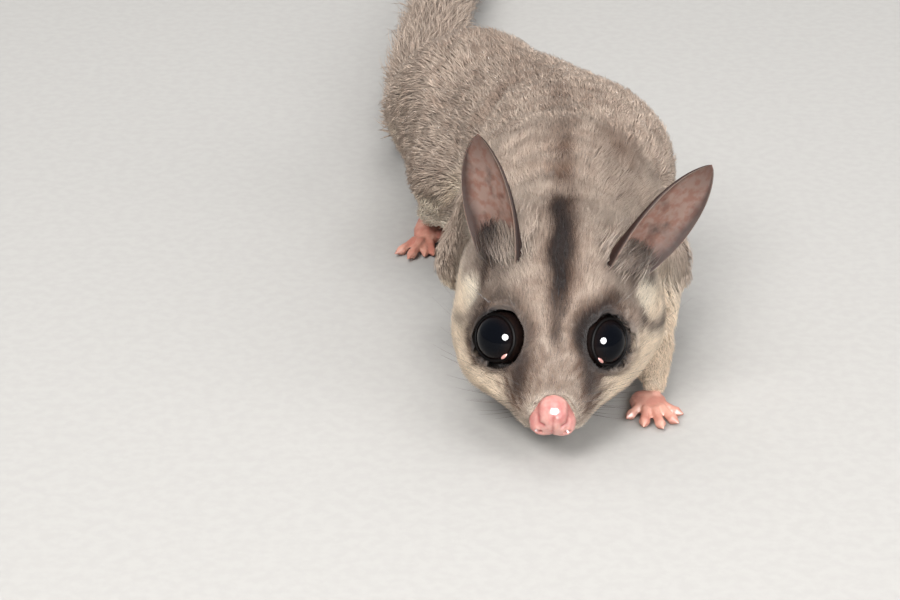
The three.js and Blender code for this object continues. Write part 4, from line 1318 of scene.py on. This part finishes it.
@dataclass
class Eye:
    """One eye: a wet, nearly black ball between dark lids."""

    name: str
    side: int
    stops: int = 72  # round the lids
    lid_width: float = 0.22 * MM
    ring_share: float = 0.1  # of the ring that the lids' rim is made from, before it is laid on the eye
    corner_radius: float = 0.3 * MM

    def build(
        self,
        ball_finish: bpy.types.Material,
        lid_finish: bpy.types.Material,
        corner_finish: bpy.types.Material,
    ) -> None:
        """Models the ball, the rim of the lids and the pink corner."""
        centre, looks = HEAD.out(HEAD.eye_at(self.side)), HEAD.aim(HEAD.eye_looks(self.side))
        ball = self.ball(centre, looks)
        dress(ball, ball_finish)
        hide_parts("eye_" + self.name)
        dress(self.rim(centre, looks), lid_finish)
        dress(self.corner(centre, looks), corner_finish)

    def ball(self, centre: np.ndarray, looks: np.ndarray) -> bpy.types.Object:
        """The eyeball, with a cornea that bulges a little where it looks."""
        ball = primitive(
            "eye_ball_" + self.name, bpy.ops.mesh.primitive_uv_sphere_add,
            segments=64, ring_count=40, radius=HEAD.eye_radius * MM,
        )
        surface = Surface(ball)
        towards = unit(surface.points)
        bulge = ease(0.55, 1.0, towards @ looks)
        surface.points = centre + surface.points * (0.985 + 0.035 * bulge)[:, None]
        surface.write()
        mark(ball, {"iris": ease(0.5, 0.9, towards @ looks)})
        return ball

    def around(self, looks: np.ndarray) -> tuple[np.ndarray, np.ndarray]:
        """Directions round the edge of the lids, and the angle of each."""
        rises = HEAD.aim(EYE_RISES)
        up = unit(rises - looks * (rises @ looks))
        across = np.cross(up, looks)
        angle = np.arange(self.stops) * 2 * math.pi / self.stops
        slit = EYE_OPENING + 1.5 - 3 * np.abs(np.sin(angle)) + 3 * hump(wrapped(angle - self.inner()), 0.35)
        opening = np.radians(slit)
        ring = np.cos(angle)[:, None] * across + np.sin(angle)[:, None] * up
        return looks * np.cos(opening)[:, None] + ring * np.sin(opening)[:, None], angle

    def inner(self) -> float:
        """The angle, round the lids, of the corner near the nose."""
        return math.radians(222 if self.side > 0 else -42)

    def rim(self, centre: np.ndarray, looks: np.ndarray) -> bpy.types.Object:
        """The bare dark rim of the lids, a thin ring that follows the ball."""
        rim = primitive(
            "eyelids_" + self.name, bpy.ops.mesh.primitive_torus_add,
            major_segments=self.stops, minor_segments=10, major_radius=1, minor_radius=self.ring_share,
        )
        outwards, _ = self.around(looks)
        edge = centre + outwards * (HEAD.eye_radius + 0.12) * MM
        along = unit(np.roll(edge, -1, 0) - np.roll(edge, 1, 0))
        aside = np.cross(along, outwards)
        surface = Surface(rim)
        x, y, z = surface.points.T
        turns = np.arctan2(y, x) / (2 * math.pi)
        n = np.round(turns * self.stops).astype(int) % self.stops
        thick = self.lid_width / self.ring_share
        beside = (np.hypot(x, y) - 1) * thick * 1.3
        surface.points = edge[n] + aside[n] * beside[:, None] + outwards[n] * (z * thick)[:, None]
        surface.write()
        with editing(rim):
            bpy.ops.mesh.normals_make_consistent(inside=False)
        return rim

    def corner(self, centre: np.ndarray, looks: np.ndarray) -> bpy.types.Object:
        """The small pink corner of the eye, on the side of the nose."""
        directions, angle = self.around(looks)
        n = int(np.argmin(np.abs(wrapped(angle - self.inner()))))
        at = centre + unit(directions[n] + 0.08 * looks) * (HEAD.eye_radius - 0.02) * MM
        corner = primitive(
            "eye_corner_" + self.name, bpy.ops.mesh.primitive_uv_sphere_add,
            segments=16, ring_count=10, radius=self.corner_radius,
        )
        surface = Surface(corner)
        along = unit(directions[(n + 3) % self.stops] - directions[(n - 3) % self.stops])
        surface.points = at + surface.points + along * (surface.points @ along)[:, None] * 1.3
        surface.write()
        return corner


def wrapped(angle: np.ndarray) -> np.ndarray:
    """Angles brought between minus and plus half a turn."""
    return (angle + math.pi) % (2 * math.pi) - math.pi


@dataclass
class Ear:
    """One ear: a thin cupped leaf, open to one side, with folds at its foot."""

    name: str
    length: float = 19.5
    width: float = 12.5
    thickness: float = 0.6
    bow: float = 1.4
    hollow: float = 2.4
    around: int = 60
    upwards: int = 54

    def build(self, finish: bpy.types.Material) -> None:
        """Models the ear and lets it stand for the frame's."""
        along, opens = unit(EAR_POINTS[self.name]), EAR_OPENS[self.name]
        facing = unit(opens - along * (opens @ along))
        u = np.linspace(-0.2, 1, self.upwards + 1)[:, None]
        s = np.linspace(-1, 1, self.around // 2 + 1)[None, :]
        leaf = self.leaf(u, s, along, facing)
        normals = unit(np.cross(np.gradient(leaf, axis=0), np.gradient(leaf, axis=1)))
        normals *= np.sign(np.einsum("ijk,k->ij", normals, facing).mean())
        half = self.half_thickness(u, s)
        inner = leaf + normals * (half + self.folds(u, s))[..., None]
        outer = leaf - normals * half[..., None]
        rows, columns = leaf.shape[:2]
        ring = np.concatenate([inner, outer[:, -2:0:-1]], 1)
        each = ring.shape[1]
        edge = np.abs(np.append(s, s[:, -2:0:-1]))  # 0 in the middle of the leaf, 1 at its margins
        inside = (np.arange(each) < columns).astype(float)
        foot, tip = leaf[0].mean(0), leaf[-1].mean(0)
        points = HEAD.out(np.vstack([ring.reshape(-1, 3), foot, tip]))
        faces = outward(points, closed_rings(rows, each))
        ear = mesh_piece("ear_leaf_" + self.name, points, faces)
        mark(ear, {
            "up": np.append(np.repeat(u, each), [0, 1]),
            "edge": np.append(np.tile(edge, rows), [0, 1]),
            "inside": np.append(np.tile(inside, rows), [0.5, 0.5]),
        })
        dress(ear, finish)
        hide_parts("ear_" + self.name)

    def half_thickness(self, u: np.ndarray, s: np.ndarray) -> np.ndarray:
        """Half the leaf's thickness, less towards its margins and its tip."""
        across, upwards = np.sqrt(1 - 0.98 * s**2), np.sqrt(np.clip(1 - np.abs(u) ** 6, 0.02, 1))
        return self.thickness * (0.42 + 0.58 * across) * upwards / 2

    @staticmethod
    def folds(u: np.ndarray, s: np.ndarray) -> np.ndarray:
        """Ridges along both margins and fine waves between them, at the ear's foot."""
        ridges = 0.28 * hump(np.abs(s) - 0.55, 0.12) * ease(0.5, 0.0, u)
        return ridges + 0.12 * np.sin(9 * s + 4 * u) * ease(0.6, 0.1, u)

    def leaf(self, u: np.ndarray, s: np.ndarray, along: np.ndarray, facing: np.ndarray) -> np.ndarray:
        """The ear's middle surface: u runs up the ear and s from margin to margin."""
        across = np.cross(along, facing)
        up = np.clip(u, 0, 1)
        half = (self.width / 2) * (0.75 + 0.85 * u) * np.clip(1 - u * u, 0, 1) ** 0.8
        half = np.where(u < 0, (self.width / 2) * (0.75 + 1.6 * u), half)
        cup = self.hollow * (1 - up) ** 1.3 + 1.3 * np.sqrt(1 - up)
        wide = half * np.sin(s * math.pi / 2)
        deep = cup * (1 - np.cos(s * math.pi / 2)) - self.bow * up * up
        parts = ((self.length * u, along), (wide, across), (deep, facing))
        return EAR_ROOTS[self.name] + sum(amount[..., None] * axis for amount, axis in parts)


@dataclass(frozen=True)
class EarFinish:
    """Thin skin: tan-pink inside, dark brown towards the margins, with a thin pale rim."""

    name: str = "ear skin"
    inside: Colour = colour(136, 112, 102)
    flush: Colour = colour(128, 94, 82)
    margin: Colour = colour(44, 29, 24)
    rim: Colour = colour(150, 132, 120)
    back: Colour = colour(78, 56, 49)

    def material(self) -> bpy.types.Material:
        """Builds the finish and returns the material."""
        material, paper = start_material(self.name)
        up, edge, inside = (paper.attribute(n) for n in ("up", "edge", "inside"))
        uneven = paper.noise(330, 5)
        lining = paper.mix(paper.ramp(paper.noise(700, 5), 0.44, 0.6), self.inside, self.flush)
        low = paper.maths("MULTIPLY", paper.ramp(up, 0.35, 0.02), 0.6)
        lining = paper.mix(low, lining, self.flush)
        towards = paper.maths("ADD", edge, paper.maths("MULTIPLY", uneven, 0.35), clamp=False)
        tip = paper.maths("MULTIPLY", paper.ramp(up, 0.66, 0.98), 0.75)
        darkness = paper.maths("MAXIMUM", paper.ramp(towards, 0.55, 0.92), tip)
        darkness = paper.maths("MAXIMUM", darkness, paper.ramp(uneven, 0.5, 0.72, 0, 0.8))
        lined = paper.mix(paper.maths("MULTIPLY", darkness, 0.85), lining, self.margin)
        backed = paper.mix(darkness, self.back, self.margin)
        skin = paper.mix(inside, backed, lined)
        skin = paper.mix(paper.maths("MULTIPLY", paper.ramp(edge, 0.965, 0.99), 0.75), skin, self.rim)
        paper.surface(
            Base_Color=skin,
            Roughness=0.75,
            Specular_IOR_Level=0.1,
            Subsurface_Weight=0.25,
            Subsurface_Radius=(1.0, 0.4, 0.3),
            Subsurface_Scale=0.7 * MM,
            Normal=paper.bump(0.5, 0.1, paper.noise(900, 5)),
        )
        return material


@dataclass(frozen=True)
class EyeFinish:
    """A wet eye: black, with the faintest brown iris round the pupil."""

    name: str = "wet eye"
    pupil: Colour = (0.0015, 0.002, 0.0035, 1)
    iris: Colour = (0.016, 0.008, 0.005, 1)

    def material(self) -> bpy.types.Material:
        """Builds the finish and returns the material."""
        material, paper = start_material(self.name)
        beside = paper.maths("SUBTRACT", 1.0, paper.attribute("iris"))
        tone = paper.mix(paper.maths("MULTIPLY", paper.noise(1800, 4), beside), self.pupil, self.iris)
        wet = {"Roughness": 0.05, "Specular_IOR_Level": 0.08, "Coat_Weight": 0.04, "Coat_Roughness": 0.03}
        paper.surface(Base_Color=tone, **wet)
        return material


@dataclass
class Nose:
    """The bare nose pad with its wings, nostrils and groove."""

    voxel: float = 0.17 * MM
    swell: float = 0.15 * MM  # so that it meets the skin round it
    slit_depth: float = 0.32
    wing: tuple[tuple[float, float], ...] = ((1.7, 4.6), (2.35, 3), (2.5, 1.2), (2.2, -0.4), (1.5, -0.8))
    groove: tuple[tuple[float, float], ...] = ((0, 0.5), (0, -3))

    def build(self, finish: bpy.types.Material) -> None:
        """Models the pad from the frame's and lets it stand for it."""
        pad = fuse(self.voxel, copy_of("nose", "nose_pad", self.swell))
        surface = Surface(pad)
        surface.smooth(14)
        h = HEAD.into(surface.points)
        normals = surface.normals()
        cobbles = 0.035 * ripple(h, 0.45, 8)
        slit = self.slits(h)
        surface.points += normals * ((cobbles - self.slit_depth * slit) * MM)[:, None]
        surface.write()
        mark(pad, {"slit": slit})
        smooth_faces(pad)
        dress(pad, finish)
        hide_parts("nose")

    def slits(self, h: np.ndarray) -> np.ndarray:
        """How much each place of the pad lies in the slits beside its wings or in its groove."""
        flat = np.stack([np.abs(h[:, 0]), 0.79 * h[:, 1] + 0.62 * h[:, 2]], 1)
        wing, share = near_line(flat, self.wing)
        groove, _ = near_line(flat, self.groove)
        front = ease(2.6, 1.4, h[:, 1] - 0.5 * h[:, 2])
        return np.maximum(hump(wing, 0.3) * (0.45 + 0.55 * share), 0.6 * hump(groove, 0.22)) * front


@dataclass
class Paw:
    """One hand or foot: a bare pink paw whose wrist is sunk in the fur, with curved claws."""

    kind: str
    side: str
    voxel: float = 0.27 * MM
    wrist: tuple[float, ...] = (0.2, 1.2, 1.2, 1.1, 1, 0.9, 0.7, 0.2)  # its radii in millimetres

    def build(self, skin_finish: bpy.types.Material) -> None:
        """Models the paw from the frame's, with a wrist that runs up into the limb."""
        paw = copy_of(f"{self.kind}_{self.side}", f"{self.kind}_skin_{self.side}")
        limb = {"hand": "forearm", "foot": "shank"}[self.kind]
        back = {"hand": 2.0, "foot": 3.5}[self.kind]
        start = middle(f"{self.kind}_{self.side}") + np.array((0, back, 0.2)) * MM
        up = middle(f"{limb}_{self.side}") - start
        line = smooth_line([start, start + up * 0.15, start + up * 0.3], len(self.wrist))
        fuse(self.voxel, paw, mesh_piece("wrist", *tube(line, np.array(self.wrist) * MM, 14)))
        surface = Surface(paw)
        surface.smooth(5)
        surface.points[:, 2] = np.maximum(surface.points[:, 2], 0.02 * MM)
        surface.write()
        smooth_faces(paw)
        dress(paw, skin_finish)
        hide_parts(f"{self.kind}_{self.side}")


@dataclass
class Whiskers:
    """Long thin whiskers from both sides of the muzzle, above the eyes and on the chin."""

    seed: int = 17
    thickness: float = 0.045 * MM

    def build(self, finish: bpy.types.Material) -> None:
        """Models all the whiskers as one piece."""
        rng = np.random.default_rng(self.seed)
        points, faces, total = [], [], 0
        for side in SIDES.values():
            for start, aim, length in self.rows(rng):
                line = self.bent(start * (side, 1, 1), aim * (side, 1, 1), length)
                radii = self.thickness * np.linspace(1, 0.12, len(line))
                p, f = tube(line, radii, 4)
                points.append(p)
                faces.append(f + total)
                total += len(p)
        whiskers = mesh_piece("whiskers", np.vstack(points), np.vstack(faces))
        dress(whiskers, finish)

    @staticmethod
    def rows(rng: np.random.Generator) -> list[tuple[np.ndarray, np.ndarray, float]]:
        """Where whiskers start, where they point and how long they are, on the left side."""
        found = []
        for row in range(4):
            for place in range(6):
                start = np.array((3.5 + 0.22 * place, 3.4 + 1.1 * place, 0.4 - 0.95 * row))
                aim = np.array((0.95, 0.1 + 0.12 * place, 0.08 - 0.25 * row)) + 0.1 * rng.normal(size=3)
                found.append((start, unit(aim), (9 + 2.6 * place) * rng.uniform(0.7, 1.05)))
        brow = (2, (9, 17.5, 6), 0.4, (0.8, 0.3, 0.5), 0.12, (6, 8))
        chin = (5, (1.2, 5, -6.2), 0.6, (0.6, 0.3, -0.3), 0.15, (4, 7))
        for count, place, spread, aims, stray, lengths in (brow, chin):
            for _ in range(count):
                start = np.array(place) + spread * rng.normal(size=3)
                aim = unit(np.array(aims) + stray * rng.normal(size=3))
                found.append((start, aim, rng.uniform(*lengths)))
        return found

    @staticmethod
    def bent(start: np.ndarray, aim: np.ndarray, length: float, stops: int = 9) -> np.ndarray:
        """A whisker's line, which bows back and droops a little, clear of the floor."""
        t = np.linspace(0, 1, stops)[:, None]
        local = start + aim * length * t + np.array((0, 0.22, -0.12)) * length * t**2
        line = HEAD.out(local)
        line[:, 2] = np.maximum(line[:, 2], 0.3 * MM)
        return line


# Studio


@dataclass
class Studio:
    """A pale floor, soft lights and the camera."""

    elevation: float = 25.0  # degrees above the floor
    distance: float = 388 * MM
    focal: float = 2500.0  # pixels in a 900 by 600 picture
    nose_pixel: tuple[float, float] = (553, 421)
    picture: tuple[int, int] = (900, 600)
    # name, metres from the head, size and power
    lamps: tuple[tuple[str, tuple[float, float, float], float, float], ...] = (
        ("key", (-0.3, -0.4, 0.6), 0.45, 6.2),
        ("fill", (0.55, -0.3, 0.4), 0.6, 3),
        ("top", (0.05, 0.35, 0.75), 0.7, 4.4),
        ("front", (0.1, -0.42, 0.22), 0.2, 1.2),
        ("spark", (0.09, -0.39, 0.2), 0.22, 26),
    )

    def build(self) -> None:
        """Sets the stage."""
        self.floor()
        self.camera()
        for name, away, size, power in self.lamps:
            self.lamp(name, np.array(away), size, power)
        world = bpy.data.worlds.new("studio")
        world.use_nodes = True
        sky = world.node_tree.nodes["Background"].inputs
        sky["Color"].default_value, sky["Strength"].default_value = (0.86, 0.9, 0.95, 1), 0.5
        bpy.context.scene.world = world
        bpy.context.scene.view_settings.view_transform = "Standard"

    def floor(self) -> None:
        """A wide pale floor."""
        floor = primitive("floor", bpy.ops.mesh.primitive_plane_add, size=6)
        base, patches = colour(166, 163, 159), colour(163, 160, 156)
        finish = BareFinish("pale floor", base, patches, 0.85, specular=0.05, crease=0.02)
        floor.data.materials.append(finish.material())

    def camera(self) -> None:
        """The photograph's view: its angle, distance and framing."""
        e = math.radians(self.elevation)
        axes = np.array(((1, 0, 0), (0, math.sin(e), -math.cos(e)), (0, math.cos(e), math.sin(e))))
        across, down = (self.nose_pixel[n] - self.picture[n] / 2 for n in range(2))
        offset = np.array((across / self.focal, -down / self.focal, -1)) * self.distance
        data = bpy.data.cameras.new("camera")
        data.lens, data.sensor_width = self.focal * 36 / self.picture[0], 36
        camera = bpy.data.objects.new("camera", data)
        bpy.context.scene.collection.objects.link(camera)
        matrix = Matrix(axes.tolist()).to_4x4()
        matrix.translation = Vector(HEAD.origin - axes @ offset)
        camera.matrix_world = matrix
        data.clip_start, data.clip_end = 0.01, 20
        bpy.context.scene.camera = camera

    @staticmethod
    def lamp(name: str, away: np.ndarray, size: float, power: float) -> None:
        """A soft lamp that shines on the head. Only the spark shows in the eyes, and does nothing else."""
        data = bpy.data.lights.new(name, "AREA")
        data.shape, data.size, data.energy = "DISK", size, power
        lamp = bpy.data.objects.new(name, data)
        bpy.context.scene.collection.objects.link(lamp)
        lamp.location = Vector(HEAD.out((0, 20, 0)) + away)
        lamp.rotation_euler = Vector(-away).to_track_quat("-Z", "Y").to_euler()
        lamp.visible_glossy = name == "spark"
        lamp.visible_diffuse = name != "spark"


def dress_skin(skin: Skin, markings: Markings, finish: bpy.types.Material) -> None:
    """Marks the skin, dresses it and lets it stand for the nodes of flesh."""
    surface = Surface(skin.piece)
    masks = markings.at(surface.points, surface.normals())
    mark(skin.piece, {m.value: value for m, value in masks.items()})
    dress(skin.piece, finish)
    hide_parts(*skin.nodes(), *TAIL_NODES)


def grow_coat(coat: Coat, fur: bpy.types.Material, tail_fur: bpy.types.Material) -> None:
    """Grows every piece of the coat, from the face to the tip of the tail."""
    face_ends, crown_ends = 13, 34  # head millimetres
    limbs_below, before_shoulders, behind_shoulders = 13 * MM, 9 * MM, 16 * MM
    fold_inset, fold_from_spine = 4 * MM, 9 * MM
    h = HEAD.into(coat.centres)
    x, y, z = coat.centres.T
    tail_begins = TAIL_STARTS + 2 * MM
    tail = y > tail_begins
    head = (h[:, 1] < crown_ends) & ~tail
    face = head & (h[:, 1] < face_ends)
    shoulders, loins = middle("torso_front")[1], middle("torso_rear")[1]
    trunk = ~head & ~tail
    low, high = trunk & (z < limbs_below), trunk & (z >= limbs_below)
    spine = np.interp(y, [shoulders, loins], [middle("torso_front")[0], middle("torso_rear")[0]])
    first, last = (middle(f"{node}_left")[1] for node in ("upper_arm", "thigh"))
    folds = low & (y > first + fold_inset) & (y < last - fold_inset) & (np.abs(x - spine) > fold_from_spine)
    nape = high & (y < shoulders - before_shoulders)
    rump = high & (y >= shoulders + behind_shoulders)
    left, beside = h[:, 0] > 0, x > spine
    grown: list[tuple[str, np.ndarray, int]] = [
        ("coat_face_left", face & left, 1),
        ("coat_face_right", face & ~left, 1),
        ("coat_crown_left", head & ~face & left, 1),
        ("coat_crown_right", head & ~face & ~left, 1),
        ("coat_nape", nape, 1),
        ("coat_back", high & ~nape & ~rump, 2),
        ("coat_rump_left", rump & beside, 2),
        ("coat_rump_right", rump & ~beside, 2),
        ("coat_limbs_front", low & ~folds & (y < shoulders), 2),
        ("coat_limbs_rear", low & ~folds & (y >= shoulders), 2),
    ]
    for n, (name, choice, rings) in enumerate(grown):
        dress(coat.grow(name, choice, 100 + n, rings), fur)
    for n, (name, side) in enumerate(SIDES.items()):
        choice = folds & (np.sign(x - spine) == side)
        dress(coat.grow(f"coat_fold_{name}", choice, 120 + n), fur)
        before = EAR_ROOTS[name] + 1.5 * EAR_OPENS[name] + np.array((-0.8 * side, 0, 0.3))
        foot = hump(np.maximum(far(h, before) - 3.6, 0), 1.1) * ~tail
        foot *= ease(-2.5, 0.5, (h - EAR_ROOTS[name]) @ EAR_OPENS[name])
        dress(coat.grow(f"coat_ear_{name}", foot, 130 + n, lift=2.4, longer=1.5, loose=True), fur)
    split = np.linspace(tail_begins, TAIL_LINE[-1][1] + 20 * MM, 3)
    for n, (start, end) in enumerate(zip(split[:-1], split[1:])):
        choice = (y > start) & (y <= end)
        piece = coat.grow(f"tail_brush_{n + 1}", choice, 200 + n, rings=3, stray=0.2, loose=True)
        dress(piece, tail_fur)


def main() -> None:
    """Builds the animal from its skin outwards, then the studio."""
    body, markings = Body(), Markings()
    skin = Skin(body)
    skin.build()
    LOG.info("skin: %d points", len(skin.piece.data.vertices))
    group = CoatColours().group()
    dress_skin(skin, markings, SkinFinish().material(group))
    coat = Coat(body, markings, skin.piece)
    fur, tail_fur = FurFinish("short coat"), FurFinish("tail hair", mottling=1.0)
    grow_coat(coat, fur.material(group), tail_fur.material(group))
    ball = EyeFinish().material()
    lids = BareFinish("lid rim", colour(15, 10, 9), colour(9, 6, 6), 0.6, specular=0.04).material()
    corner = BareFinish("eye corner", colour(206, 158, 148), colour(186, 124, 116), 0.35, coat=0.3).material()
    for name, side in SIDES.items():
        Eye(name, side).build(ball, lids, corner)
    LOG.info("eyes: two balls with lids and corners")
    ear_finish = EarFinish().material()
    for name in SIDES:
        Ear(name).build(ear_finish)
    LOG.info("ears: two")
    nose = NoseFinish("moist nose", colour(204, 152, 142), colour(180, 112, 106), 0.4, coat=0.25,
                      patch_scale=420, crease_scale=3200, crease=0.5, subsurface=0.2)
    Nose().build(nose.material())
    paw = BareFinish("paw skin", colour(192, 140, 122), colour(172, 112, 96), 0.55,
                     patch_scale=380, crease_scale=1600, crease=0.6, subsurface=0.15).material()
    for side in SIDES:
        for kind in ("hand", "foot"):
            Paw(kind, side).build(paw)
    LOG.info("nose and four paws")
    hair = BareFinish("whisker", colour(70, 54, 46), colour(40, 30, 26), 0.45, crease=0.0).material()
    Whiskers().build(hair)
    Studio().build()


if __name__ == "__main__":
    logging.basicConfig(level=logging.INFO, format="%(message)s")
    main()
